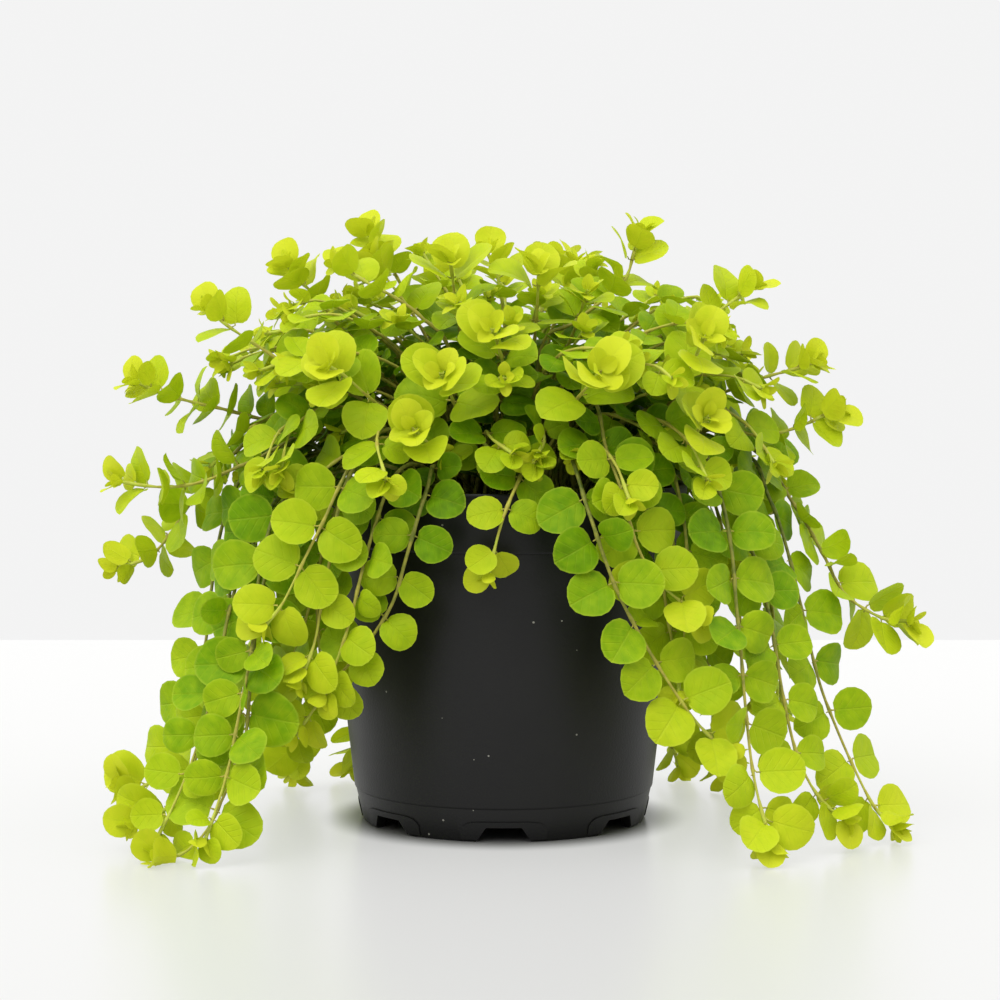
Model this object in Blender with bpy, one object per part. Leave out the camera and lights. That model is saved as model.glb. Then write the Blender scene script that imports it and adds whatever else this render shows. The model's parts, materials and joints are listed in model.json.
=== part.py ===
"""Creeping jenny in a black plastic nursery pot, about 12 cm across the rim.

The pot stands on Z = 0 with its axis on the Z axis. The root ball fills it, and each
leafy stem stands in its own hole in the soil, arches out of the pot, and some trail
down to the surface that the pot stands on. Lengths are in mm until a mesh is made.
"""

import math
import random
from dataclasses import dataclass

import bmesh
import bpy
import numpy as np
from mathutils import Matrix, Vector

MM = 0.001
SEED = 11

# The pot: its radii from the foot up, then the wall, the floor and what is cut into it.
POT_HEIGHT = 110.5
FOOT_RADIUS = 46.4
FOOT_RING = 2.8
FOOT_CORNER = 0.8
STEP_HEIGHT = 11.0
STEP_RADIUS = 49.1
STEP_DEPTH = 0.8
STEP_SLOPE = 0.35
SHOULDER_RADIUS = 58.2
BAND_FOOT = 92.0
BAND_RADIUS = 59.3
RIM_RADIUS = 60.1
RIM_ROUND = 0.5
WALL = 1.4
FLOOR_UNDERSIDE = 5.4
FLOOR_TOP = 6.8
POT_SIDES = 28
NOTCHES = 7
NOTCH_TOP_WIDTH = 11.3
NOTCH_FOOT_WIDTH = 17.5
NOTCH_HEIGHT = 4.8
DRAIN_RADIUS = 3.6
DRAIN_CIRCLE = 34.0
DRAIN_SIDES = 8
CUT_EXTRA = 2.0
SHARP_EDGE = 30.0

# The root ball.
GAP = 0.3
SOIL_TOP = 99.0
SOIL_CROWN = 2.4
SOIL_EDGE = 1.2
SOIL_BORDER = 6.0
SOIL_SIDES = 14

# Stems and blades.
STEM_RADIUS = 1.15
STEM_TIP_SHARE = 0.86
STEM_FOOT = 88.9
STEM_STRAIGHT = 105.0
STEM_APART = 3.5
CURVE_STEP = 3.0
LINE_STEP = 1.5
BEND_ERROR = 1.35
MOST_TWIST = 40.0
STEM_SPOTS = 60
SPOT_CIRCLE = 43.0
STEM_TO_POT = 2.0
STEM_IN_RIM = 4.5
PETIOLE = 1.8
BLADE_MIDDLE = 0.94
BLADE_THICKNESS = 0.7
BLADE_ARCH = 0.09
BLADE_ANGLES = (142, 85, 28)
SMALL_BLADE = 7.4
SMALL_BLADE_ANGLES = (118, 40)
BLADE_SWELL = 1.06
BLADE_GAP = 2.0
EDGE_GAP = 1.2
STEM_GAP = 2.5
BLADE_TO_POT = 1.5
TABLE_GAP = 0.5
LIGHT_HEIGHT = 100.0
LIGHT_LIFT = 1.5

# Pairs: each one's (share of the full size, lean towards the tip in degrees). The first is at
# the tip, the second a share of the spacing behind it, and the rest a spacing apart.
TIP_PAIR = (0.62, 50.0)
NEXT_PAIR = (0.9, 34.0)
FULL_PAIR = (1.0, 16.0)
TIP_PAIR_BACK = 1.6
NEXT_PAIR_SPACING = 0.42

# Where a stem or a blade would touch something, it is moved and tried again.
DEPTH_SHIFT = 2.0
DEPTH_SHIFTS = 7
SWEEP_TRIES = 60
BLADE_TRIES = 26

# Where the photograph was taken from, to place what it shows.
VIEW_POINT = (-1.2, -900.0, 165.2)
VIEW_PITCH = 3.85
VIEW_FOCAL = 2750.0
VIEW_CENTRE = 500.0


@dataclass(frozen=True)
class Route:
    """A stem that shows in the photograph.

    Each point is (across, down, depth): pixels of the 1000 x 1000 frame, then the
    guessed depth in mm behind the pot's axis. It runs from the soil to the tip.
    """

    name: str
    points: tuple
    leaf: float = 7.6
    spacing: float = 14.5
    pairs: int = 4
    facing: float = 0.5


SEEN_STEMS = (
    Route("trail_front_left", (
        (437, 466, -50), (428, 486, -63), (417, 521, -68), (405, 562, -68), (393, 602, -67),
        (369, 641, -65), (343, 671, -63), (317, 705, -60), (296, 735, -58)), 6.2, 13.4, 7, 0.8),
    Route("trail_front_middle", (
        (526, 462, -48), (519, 480, -62), (509, 502, -68), (500, 528, -69), (493, 556, -69),
        (489, 573, -69)), 6.0, 13.2, 4, 0.8),
    Route("trail_front_right", (
        (592, 405, -44), (606, 448, -58), (622, 492, -67), (635, 540, -69), (652, 574, -69),
        (675, 597, -68), (698, 612, -67)), 7.2, 12.8, 5, 0.75),
    Route("trail_right_inner", (
        (566, 452, -54), (588, 510, -72), (603, 554, -75), (618, 593, -75), (639, 633, -74),
        (662, 672, -73), (691, 715, -72), (714, 740, -71), (730, 748, -70)), 7.6, 14.0, 7, 0.8),
    Route("trail_right_long", (
        (690, 448, -34), (718, 490, -48), (731, 546, -57), (736, 602, -62), (741, 653, -66),
        (745, 702, -70), (752, 766, -75), (762, 812, -79), (774, 846, -82)), 7.2, 15.0, 8, 0.85),
    Route("trail_right_outer", (
        (735, 452, -12), (770, 500, -20), (790, 560, -27), (804, 620, -32), (819, 681, -36),
        (834, 722, -38), (854, 768, -41), (875, 808, -44), (894, 826, -46)), 7.2, 16.5, 7, 0.55),
    Route("trail_right_low", (
        (712, 470, -40), (748, 540, -49), (770, 620, -54), (782, 690, -57), (794, 745, -59),
        (808, 780, -61), (826, 805, -62), (846, 819, -63)), 6.4, 17.0, 4, 0.5),
    Route("arm_right", (
        (742, 446, 2), (793, 503, -7), (824, 556, -14), (845, 594, -18), (882, 618, -22),
        (909, 621, -25)), 7.6, 18.0, 4, 0.5),
    Route("arm_left", (
        (352, 392, -4), (298, 413, 0), (253, 437, 3), (227, 461, 6), (202, 486, 8),
        (180, 519, 10), (152, 555, 12), (117, 568, 15)), 6.8, 19.0, 5, 0.35),
    Route("arm_left_upper", (
        (330, 432, -22), (250, 462, -26), (205, 481, -27), (170, 487, -28), (140, 485, -28),
        (119, 481, -28)), 6.2, 18.0, 4, 0.3),
    Route("spray_left", (
        (305, 425, 6), (262, 419, 4), (219, 408, 2), (192, 402, 1), (155, 391, 0),
        (136, 381, 0)), 6.2, 18.0, 4, 0.3),
    Route("spray_upper_left", (
        (372, 408, -34), (325, 389, -36), (298, 372, -36), (270, 354, -36), (247, 339, -36),
        (224, 323, -35), (209, 309, -35)), 6.8, 20.0, 3, 0.3),
    Route("tip_upper_left", (
        (392, 372, 6), (345, 332, 4), (318, 298, 2), (304, 285, 1), (286, 264, 0)), 6.4, 18.0, 3, 0.3),
    Route("tip_high_left", (
        (452, 360, -24), (420, 316, -24), (392, 296, -22), (366, 282, -20), (340, 266, -18)),
        6.8, 19.0, 3, 0.3),
    Route("tip_top_left", (
        (440, 352, 14), (405, 292, 16), (383, 252, 16), (367, 233, 16)), 6.8, 20.0, 3, 0.25),
    Route("trail_left_outer", (
        (318, 448, -14), (250, 470, -18), (224, 520, -20), (212, 585, -23), (206, 640, -26),
        (195, 697, -30), (182, 733, -33), (165, 769, -36), (138, 789, -38), (122, 782, -39)),
        7.0, 15.5, 7, 0.6),
    Route("trail_left_low", (
        (350, 470, -42), (285, 500, -52), (262, 560, -58), (256, 625, -62), (250, 690, -66),
        (243, 750, -70), (222, 800, -73), (207, 830, -75), (184, 853, -78), (160, 858, -80)),
        8.2, 15.5, 8, 0.85),
    Route("trail_left_back", (
        (300, 440, -28), (242, 510, -36), (230, 590, -42), (222, 660, -47), (206, 725, -52),
        (186, 782, -57), (160, 814, -61), (134, 825, -64)), 6.8, 17.0, 5, 0.5),
    Route("trail_left_bright", (
        (398, 432, -50), (362, 448, -60), (340, 485, -65), (325, 518, -67), (307, 554, -68),
        (284, 601, -69), (266, 625, -69)), 7.4, 13.5, 5, 0.8),
    Route("trail_left_inner", (
        (372, 462, -46), (342, 498, -55), (330, 560, -59), (322, 602, -60), (314, 645, -61),
        (300, 682, -62)), 6.4, 17.0, 3, 0.6),
    Route("tip_top_right", (
        (540, 352, -20), (572, 324, -18), (602, 301, -16), (625, 280, -14), (634, 252, -12),
        (640, 233, -12)), 6.6, 19.0, 3, 0.25),
    Route("tip_top_middle", (
        (505, 340, -6), (503, 310, -6), (498, 278, -6), (487, 252, -6)), 6.8, 18.0, 3, 0.3),
    Route("rosette_middle", (
        (508, 395, -30), (504, 368, -42), (498, 345, -52), (493, 330, -60)), 7.0, 10.5, 3, 0.5),
    Route("rosette_left", (
        (462, 425, -38), (452, 398, -52), (442, 374, -66)), 8.4, 11.5, 3, 0.5),
    Route("rosette_right", (
        (560, 425, -36), (578, 398, -50), (600, 372, -66)), 8.8, 11.5, 3, 0.45),
    Route("rosette_low_left", (
        (448, 462, -46), (432, 446, -58), (414, 430, -70)), 7.4, 12.0, 3, 0.55),
    Route("front_left_big", (
        (398, 420, -40), (372, 400, -52), (345, 376, -62), (328, 366, -66)), 8.0, 13.0, 3, 0.55),
    Route("tip_top_back", (
        (548, 352, 14), (562, 312, 18), (570, 284, 20), (576, 262, 20)), 6.8, 18.0, 3, 0.25),
    Route("tip_right_high", (
        (628, 384, -26), (665, 362, -26), (689, 343, -25), (709, 318, -23), (732, 302, -21),
        (752, 286, -20)), 6.8, 19.0, 3, 0.3),
    Route("rosette_right_high", (
        (668, 408, -32), (688, 372, -44), (704, 338, -54)), 7.8, 12.0, 3, 0.45),
    Route("spray_right", (
        (672, 412, -2), (725, 392, -6), (762, 378, -8), (795, 369, -9), (814, 362, -10)),
        6.4, 18.0, 3, 0.3),
    Route("spray_right_low", (
        (700, 432, -14), (762, 436, -14), (803, 425, -12), (822, 416, -12), (837, 410, -12)),
        6.4, 18.0, 3, 0.35),
    Route("rosette_right_low", (
        (672, 462, -34), (690, 440, -46), (708, 418, -58)), 7.2, 12.0, 3, 0.5),
)


@dataclass(frozen=True)
class Sweep:
    """Stems of one habit that the photograph doesn't show, spread over a stretch of the circle.

    The profile is (radius, height) from just above the soil to the tip. Azimuths are
    degrees from +X towards +Y, so 90 is the back.
    """

    name: str
    count: int
    first: float
    last: float
    profile: tuple
    leaf: float
    spacing: float
    pairs: int


HIDDEN_STEMS = (
    Sweep("back_trail", 6, 16, 164, (
        (48, 128), (67, 124), (77, 96), (80, 60), (83, 28), (89, 5)), 7.6, 32.0, 5),
    Sweep("back_shoulder", 7, 8, 172, (
        (38, 130), (60, 140), (74, 136), (83, 122)), 7.6, 18.0, 4),
    Sweep("crown", 5, 28, 332, (
        (16, 132), (28, 158), (44, 178)), 7.8, 13.5, 3),
)


@dataclass
class Stem:
    """A stem's line in mm, from its foot in the soil to its tip, and how its leaves grow."""

    name: str
    line: np.ndarray
    leaf: float
    spacing: float
    pairs: int
    facing: float


@dataclass
class Seat:
    """Where one blade grows: its root on the stem, its way out, its upper side and its radius."""

    root: np.ndarray
    along: np.ndarray
    face: np.ndarray
    radius: float

    def centre(self):
        return self.root + self.along * (PETIOLE + BLADE_MIDDLE * self.radius)


def unit(vector):
    """The vector at length 1."""
    return vector / np.linalg.norm(vector)


def turned(vector, axis, degrees):
    """The vector turned about an axis of length 1."""
    angle = math.radians(degrees)
    return (
        vector * math.cos(angle)
        + np.cross(axis, vector) * math.sin(angle)
        + axis * np.dot(axis, vector) * (1 - math.cos(angle))
    )


def seen(across, down, depth):
    """The point in mm that the photograph shows at a pixel, at a depth behind the pot's axis."""
    pitch = math.radians(VIEW_PITCH)
    right = (across - VIEW_CENTRE) / VIEW_FOCAL
    up = (VIEW_CENTRE - down) / VIEW_FOCAL
    reach = (depth - VIEW_POINT[1]) / (math.cos(pitch) + up * math.sin(pitch))
    height = VIEW_POINT[2] + reach * (up * math.cos(pitch) - math.sin(pitch))
    return np.array((VIEW_POINT[0] + reach * right, depth, height))


def pot_radius(height):
    """The pot's outer radius at a height."""
    heights = (0, STEP_HEIGHT, BAND_FOOT, BAND_FOOT + FOOT_CORNER, POT_HEIGHT)
    radii = (FOOT_RADIUS, STEP_RADIUS, SHOULDER_RADIUS, BAND_RADIUS, RIM_RADIUS)
    return np.interp(height, heights, radii)


def smooth_line(points, step):
    """Evenly spaced points along a smooth curve through the given ones."""
    ends = [2 * points[0] - points[1], *points, 2 * points[-1] - points[-2]]
    share = np.linspace(0, 1, 12, endpoint=False)[:, None]
    fine = []
    for a, b, c, d in zip(ends, ends[1:], ends[2:], ends[3:]):
        bend = (2 * a - 5 * b + 4 * c - d) * share**2 + (3 * b - a - 3 * c + d) * share**3
        fine.append(0.5 * (2 * b + (c - a) * share + bend))
    fine = np.vstack([*fine, points[-1]])
    reach = np.append(0, np.cumsum(np.linalg.norm(np.diff(fine, axis=0), axis=1)))
    count = max(2, round(reach[-1] / step))
    wanted = np.linspace(0, reach[-1], count + 1)
    return np.column_stack([np.interp(wanted, reach, fine[:, axis]) for axis in range(3)])


def thinned(line, error):
    """The points of a line that keep its shape to within an error."""
    if len(line) < 3:
        return line
    way = unit(line[-1] - line[0])
    offset = line - line[0]
    off = np.linalg.norm(offset - np.outer(offset @ way, way), axis=1)
    worst = int(off.argmax())
    if off[worst] < error:
        return line[[0, -1]]
    return np.vstack([thinned(line[: worst + 1], error), thinned(line[worst:], error)[1:]])


def dense(line):
    """Close points all along a line, to measure gaps from."""
    parts = []
    for start, end in zip(line, line[1:]):
        count = math.ceil(np.linalg.norm(end - start) / LINE_STEP)
        parts.append(np.linspace(start, end, count + 1))
    return np.vstack(parts)


def point_at(line, distance):
    """The point and the direction of a line of points at a distance back from its tip."""
    steps = np.linalg.norm(np.diff(line, axis=0), axis=1)
    for index in range(len(steps) - 1, -1, -1):
        if distance <= steps[index] or index == 0:
            break
        distance -= steps[index]
    way = (line[index + 1] - line[index]) / steps[index]
    return line[index + 1] - way * distance, way


def stem_spots():
    """Places for the stems' holes, spread evenly over the soil."""
    golden = math.pi * (3 - math.sqrt(5))
    spots = []
    for index in range(STEM_SPOTS):
        radius = SPOT_CIRCLE * math.sqrt((index + 0.5) / STEM_SPOTS)
        spots.append(np.array((radius * math.cos(index * golden), radius * math.sin(index * golden))))
    return spots


def planted(spots, points):
    """The line of a stem from the free spot that suits it best, through its points."""
    lean = points[0][:2]
    wish = lean * min(1.0, 0.8 * SPOT_CIRCLE / max(np.linalg.norm(lean), 1.0))
    spot = min(spots, key=lambda place: float(np.linalg.norm(place - wish)))
    foot = [np.append(spot, STEM_FOOT), np.append(spot, STEM_STRAIGHT)]
    curve = smooth_line([foot[1], *points], CURVE_STEP)
    return spot, np.vstack([foot[0], thinned(curve, BEND_ERROR)])


def line_clear(line, others):
    """Whether a line keeps clear of the pot, the table and the other lines."""
    fine = dense(line[1:])
    low = fine[fine[:, 2] < POT_HEIGHT + STEM_TO_POT]
    radius = np.linalg.norm(low[:, :2], axis=1)
    outside = radius > pot_radius(low[:, 2]) + STEM_TO_POT
    inside = (radius < RIM_RADIUS - STEM_IN_RIM) & (low[:, 2] > SOIL_TOP)
    if not (outside | inside).all() or fine[:, 2].min() < STEM_RADIUS + TABLE_GAP:
        return False
    for other in others:
        gaps = fine[:, None, :] - other[None, :, :]
        if (gaps**2).sum(axis=2).min() < STEM_APART**2:
            return False
    return True


def grown_stems():
    """Every stem: those that the photograph shows, then the rest of the plant by rule."""
    spots = stem_spots()
    stems = []
    taken = []

    def add(name, choices, leaf, spacing, pairs, facing):
        for points in choices:
            spot, line = planted(spots, points)
            if line_clear(line, taken):
                spots[:] = [place for place in spots if place is not spot]
                taken.append(dense(line))
                stems.append(Stem(name, line, leaf, spacing, pairs, facing))
                return
        raise ValueError(f"{name} finds no clear way")

    for route in SEEN_STEMS:
        shifts = [0.0]
        for size in range(1, DEPTH_SHIFTS + 1):
            shifts += [DEPTH_SHIFT * size, -DEPTH_SHIFT * size]
        choices = (
            [seen(u, v, y + shift) for u, v, y in route.points] for shift in shifts
        )
        add(route.name, choices, route.leaf, route.spacing, route.pairs, route.facing)
    for sweep in HIDDEN_STEMS:
        for index in range(sweep.count):
            draw = random.Random(f"{SEED} {sweep.name} {index}")
            share = (index + 0.5) / sweep.count
            middle = sweep.first + (sweep.last - sweep.first) * share
            choices = (swept(sweep, middle, draw) for _ in range(SWEEP_TRIES))
            add(f"{sweep.name}_{index + 1}", choices, sweep.leaf, sweep.spacing, sweep.pairs, 0.0)
    return stems


def swept(sweep, middle, draw):
    """One try at a hidden stem's points: its profile, stretched and turned a little."""
    azimuth = math.radians(middle + draw.uniform(-9, 9))
    drift = math.radians(draw.uniform(-14, 14))
    stretch = draw.uniform(0.94, 1.05)
    lift = draw.uniform(-6, 6)
    points = []
    for index, (radius, height) in enumerate(sweep.profile):
        share = index / (len(sweep.profile) - 1)
        angle = azimuth + drift * share**2
        far = radius * (1 + (stretch - 1) * share)
        rise = height + lift * (height > 40) * (height - 40) / 90
        points.append(np.array((far * math.cos(angle), far * math.sin(angle), rise)))
    return points


DISC_RINGS = ((0.0, 1), (0.5, 6), (1.0, 12))


def disc_points(seat):
    """Points spread over a blade, with two on its petiole."""
    across = np.cross(seat.face, seat.along)
    centre = seat.centre()
    found = [seat.root + seat.along * PETIOLE * 0.6, seat.root + seat.along * PETIOLE]
    for share, count in DISC_RINGS:
        for step in range(count):
            angle = 2 * math.pi * step / count
            way = seat.along * math.cos(angle) + across * math.sin(angle)
            found.append(centre + way * share * seat.radius)
    return np.array(found)


class Room:
    """The blades placed so far and the stems' lines, which a new blade keeps clear of."""

    def __init__(self, stems):
        self.lines = [dense(stem.line) for stem in stems]
        self.centres = np.empty((0, 3))
        self.faces = np.empty((0, 3))
        self.radii = np.empty(0)
        self.points = np.empty((0, 2 + sum(count for _, count in DISC_RINGS), 3))

    def add(self, seat):
        """Takes a blade in."""
        self.centres = np.vstack([self.centres, seat.centre()])
        self.faces = np.vstack([self.faces, seat.face])
        self.radii = np.append(self.radii, seat.radius)
        self.points = np.concatenate([self.points, disc_points(seat)[None]])

    def clear(self, seat, owner, gap=BLADE_GAP):
        """Whether a blade of the stem with this number would touch nothing."""
        points = disc_points(seat)
        height = points[:, 2]
        radius = np.linalg.norm(points[:, :2], axis=1)
        if height.min() < TABLE_GAP + BLADE_THICKNESS:
            return False
        outside = radius > pot_radius(height) + BLADE_TO_POT
        if not (outside | (height > POT_HEIGHT + BLADE_TO_POT)).all():
            return False
        centre = seat.centre()
        for index, line in enumerate(self.lines):
            if index == owner:
                continue
            offset = line - centre
            rise = offset @ seat.face
            far = np.sqrt(np.maximum((offset**2).sum(axis=1) - rise**2, 0))
            if ((abs(rise) < STEM_GAP) & (far < seat.radius + STEM_GAP)).any():
                return False
            sides = points[:2, None, :] - line[None]
            if (sides**2).sum(axis=2).min() < STEM_GAP**2:
                return False
        if not len(self.radii):
            return True
        offset = points[:, None, :] - self.centres
        rise = (offset * self.faces).sum(axis=2)
        far = np.sqrt(np.maximum((offset**2).sum(axis=2) - rise**2, 0))
        if ((abs(rise) < gap) & (far < self.radii + EDGE_GAP)).any():
            return False
        offset = self.points - centre
        rise = offset @ seat.face
        far = np.sqrt(np.maximum((offset**2).sum(axis=2) - rise**2, 0))
        if ((abs(rise) < gap) & (far < seat.radius + EDGE_GAP)).any():
            return False
        return not self.crosses(seat, centre)

    def crosses(self, seat, centre):
        """Whether the blade's disc cuts through another disc."""
        across = np.cross(self.faces, seat.face)
        size = np.linalg.norm(across, axis=1)
        steep = size > 0.05
        if not steep.any():
            return False
        way = across[steep] / size[steep][:, None]
        other, face = self.centres[steep], self.faces[steep]
        reach = ((centre - other) * face).sum(axis=1)
        downhill = np.cross(seat.face, way)
        start = centre + downhill * (-reach / (downhill * face).sum(axis=1))[:, None]
        mine = ((centre - start) * way).sum(axis=1)
        mine_off = np.linalg.norm(centre - start - way * mine[:, None], axis=1)
        theirs = ((other - start) * way).sum(axis=1)
        theirs_off = np.linalg.norm(other - start - way * theirs[:, None], axis=1)
        mine_half = np.sqrt(np.maximum((seat.radius + EDGE_GAP) ** 2 - mine_off**2, 0))
        theirs_half = np.sqrt(
            np.maximum((self.radii[steep] + EDGE_GAP) ** 2 - theirs_off**2, 0)
        )
        both = (mine_half > 0) & (theirs_half > 0)
        return bool((both & (abs(mine - theirs) < mine_half + theirs_half)).any())


def light_on(place, facing):
    """The way that a leaf at this place turns its upper side."""
    lift = LIGHT_LIFT * (place[2] - min(0.9 * place[2], LIGHT_HEIGHT))
    out = unit(np.array((place[0], place[1], lift + 4.0)))
    return unit(out * (1 - 0.45 * facing) + np.array((0, -0.9, 0.25)) * facing)


def pair_steps(stem):
    """For each pair: its distance from the tip, its share of the full size, its forward lean."""
    steps = [(TIP_PAIR_BACK, *TIP_PAIR)]
    steps.append((TIP_PAIR_BACK + NEXT_PAIR_SPACING * stem.spacing, *NEXT_PAIR))
    while len(steps) < stem.pairs:
        steps.append((steps[-1][0] + stem.spacing, *FULL_PAIR))
    return steps


def blade_seats(stem, number, room):
    """Seats for a stem's blades, in opposite pairs from the tip down, all clear of the rest."""
    draw = random.Random(f"{SEED} {stem.name}")
    seats = []
    for distance, share, lean in pair_steps(stem):
        root, way = point_at(stem.line, distance)
        light = light_on(root, stem.facing)
        side = unit(np.cross(way, light))
        for sign in (1, -1):
            for attempt in range(BLADE_TRIES):
                roll = draw.uniform(-18, 18) * (1 + 0.12 * attempt)
                pitch = lean + draw.uniform(-12, 12)
                tilt = draw.uniform(-16, 16) * (1 + 0.06 * attempt)
                size = stem.leaf * share * draw.uniform(0.93, 1.05) * (1 - 0.012 * attempt)
                along = turned(side * sign, way, roll)
                along = unit(along * math.cos(math.radians(pitch)) + way * math.sin(math.radians(pitch)))
                face = unit(light - along * np.dot(light, along))
                seat = Seat(root, along, turned(face, along, tilt), size)
                if room.clear(seat, number):
                    room.add(seat)
                    seats.append(seat)
                    break
    return seats


def material(name, colour, roughness):
    """A plain Principled material for one kind of piece."""
    made = bpy.data.materials.new(name)
    made.use_nodes = True
    shader = made.node_tree.nodes["Principled BSDF"]
    shader.inputs["Base Color"].default_value = (*colour, 1)
    shader.inputs["Roughness"].default_value = roughness
    shader.inputs["Metallic"].default_value = 0.0
    return made


def new_object(name, points, faces, dressed=None):
    """A mesh object from points in mm."""
    mesh = bpy.data.meshes.new(name)
    mesh.from_pydata([Vector(point) * MM for point in points], [], faces)
    made = bpy.data.objects.new(name, mesh)
    bpy.context.scene.collection.objects.link(made)
    if dressed:
        mesh.materials.append(dressed)
    return made


def turned_solid(name, profile, sides, dressed):
    """A closed solid from a profile of (radius, height), whose two ends are on the axis."""
    mesh = bpy.data.meshes.new(name)
    work = bmesh.new()
    corners = [work.verts.new((radius * MM, 0, height * MM)) for radius, height in profile]
    edges = [work.edges.new(pair) for pair in zip(corners, corners[1:])]
    bmesh.ops.spin(
        work, geom=corners + edges, cent=(0, 0, 0), axis=(0, 0, 1),
        angle=2 * math.pi, steps=sides, use_merge=True,
    )
    bmesh.ops.remove_doubles(work, verts=work.verts, dist=0.00001)
    bmesh.ops.recalc_face_normals(work, faces=work.faces)
    work.to_mesh(mesh)
    work.free()
    made = bpy.data.objects.new(name, mesh)
    bpy.context.scene.collection.objects.link(made)
    mesh.materials.append(dressed)
    mesh.shade_smooth()
    mesh.set_sharp_from_angle(angle=math.radians(SHARP_EDGE))
    return made


def cutter(name, points, faces):
    """A closed solid that only cuts, and isn't part of the object."""
    made = new_object(name, points, faces)
    made.hide_render = True
    made.display_type = "WIRE"
    return made


def prism(section, low, high):
    """Points and faces of an upright prism over a section of (x, y) corners."""
    count = len(section)
    points = [(x, y, low) for x, y in section] + [(x, y, high) for x, y in section]
    faces = [tuple(range(count - 1, -1, -1)), tuple(range(count, 2 * count))]
    for index in range(count):
        after = (index + 1) % count
        faces.append((index, after, after + count, index + count))
    return points, faces


def cut_with(target, cutters):
    """Cuts every cutter out of the target, by one Boolean on a collection."""
    group = bpy.data.collections.new(target.name + "_cutters")
    bpy.context.scene.collection.children.link(group)
    group.hide_render = True
    for tool in cutters:
        bpy.context.scene.collection.objects.unlink(tool)
        group.objects.link(tool)
    cut = target.modifiers.new("Cut", "BOOLEAN")
    cut.operation = "DIFFERENCE"
    cut.operand_type = "COLLECTION"
    cut.collection = group


def notch_angles():
    """The azimuths of the gaps in the foot ring, the first one at the front."""
    return [-math.pi / 2 + 2 * math.pi * index / NOTCHES for index in range(NOTCHES)]


def notch_cutters():
    """Wedges for the gaps in the foot ring, wider at the foot."""
    spread = (NOTCH_FOOT_WIDTH - NOTCH_TOP_WIDTH) / NOTCH_HEIGHT
    levels = (
        (-CUT_EXTRA, NOTCH_FOOT_WIDTH + spread * CUT_EXTRA),
        (NOTCH_HEIGHT, NOTCH_TOP_WIDTH),
    )
    made = []
    for index, angle in enumerate(notch_angles()):
        corners = []
        for radius in (FOOT_RADIUS - 3 * FOOT_RING, FOOT_RADIUS + 3 * FOOT_RING):
            for height, width in levels:
                corners += [Vector((radius, side * width, height)) for side in (-0.5, 0.5)]
        turn = Matrix.Rotation(angle, 3, "Z")
        points = [turn @ corner for corner in corners]
        faces = [(0, 2, 3, 1), (4, 5, 7, 6), (0, 1, 5, 4), (2, 6, 7, 3), (0, 4, 6, 2), (1, 3, 7, 5)]
        made.append(cutter(f"notch_{index + 1}", points, faces))
    return made


def drain_cutters():
    """Cutters for the drain holes in the floor: one behind each notch and one in the middle."""
    places = [np.zeros(2)]
    for angle in notch_angles():
        places.append(DRAIN_CIRCLE * np.array((math.cos(angle), math.sin(angle))))
    made = []
    for index, place in enumerate(places):
        corners = []
        for step in range(DRAIN_SIDES):
            angle = 2 * math.pi * (step + 0.5) / DRAIN_SIDES
            corners.append(place + DRAIN_RADIUS * np.array((math.cos(angle), math.sin(angle))))
        points, faces = prism(corners, FLOOR_UNDERSIDE - CUT_EXTRA, FLOOR_TOP + CUT_EXTRA)
        made.append(cutter(f"drain_{index + 1}", points, faces))
    return made


def inner_radius(height):
    """The pot's inner radius at a height above its floor."""
    if height > BAND_FOOT:
        return pot_radius(height) - WALL
    return min(pot_radius(height), SHOULDER_RADIUS) - WALL


def build_pot():
    """The pot: a tapered wall, a band round the rim, a foot ring with notches and a raised floor."""
    foot_inside = FOOT_RADIUS - FOOT_RING
    band_inside = BAND_FOOT + WALL
    profile = [
        (0, FLOOR_UNDERSIDE),
        (foot_inside, FLOOR_UNDERSIDE),
        (foot_inside, 0),
        (FOOT_RADIUS - FOOT_CORNER, 0),
        (FOOT_RADIUS, FOOT_CORNER),
        (STEP_RADIUS - STEP_DEPTH, STEP_HEIGHT - STEP_SLOPE),
        (STEP_RADIUS, STEP_HEIGHT + STEP_SLOPE),
        (SHOULDER_RADIUS, BAND_FOOT),
        (BAND_RADIUS, BAND_FOOT),
        (RIM_RADIUS, POT_HEIGHT - RIM_ROUND),
        (RIM_RADIUS - RIM_ROUND, POT_HEIGHT),
        (RIM_RADIUS - WALL, POT_HEIGHT),
        (inner_radius(band_inside), band_inside),
        (inner_radius(BAND_FOOT), BAND_FOOT),
        (inner_radius(FLOOR_TOP), FLOOR_TOP),
        (0, FLOOR_TOP),
    ]
    black = material("black_plastic", (0.017, 0.017, 0.016), 0.42)
    pot = turned_solid("pot", profile, POT_SIDES, black)
    cut_with(pot, notch_cutters() + drain_cutters())


def hands_along(stem):
    """For each station of a stem, the way along it and the way to its first edge.

    The first edge turns to the light, a little from station to station, so that the leaf
    pairs leave through the tube's flat sides. The foot stands upright in its hole.
    """
    line = stem.line
    ways = [unit(b - a) for a, b in zip(line, line[1:])]
    hand = None
    found = []
    for station, place in enumerate(line):
        way = unit(ways[max(station - 1, 0)] + ways[min(station, len(ways) - 1)])
        if station < 2:
            way = np.array((0.0, 0.0, 1.0))
        light = light_on(line[max(station, 2)], stem.facing)
        wish = unit(light - way * np.dot(light, way))
        if hand is not None:
            hand = unit(hand - way * np.dot(hand, way))
            angle = math.degrees(math.atan2(np.dot(np.cross(hand, wish), way), np.dot(hand, wish)))
            wish = turned(hand, way, max(-MOST_TWIST, min(MOST_TWIST, angle)))
        hand = wish
        found.append((way, hand))
    return found


def section(place, way, hand, radius):
    """The three corners of a stem's section."""
    return [place + turned(hand, way, 120.0 * step) * radius for step in range(3)]


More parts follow.
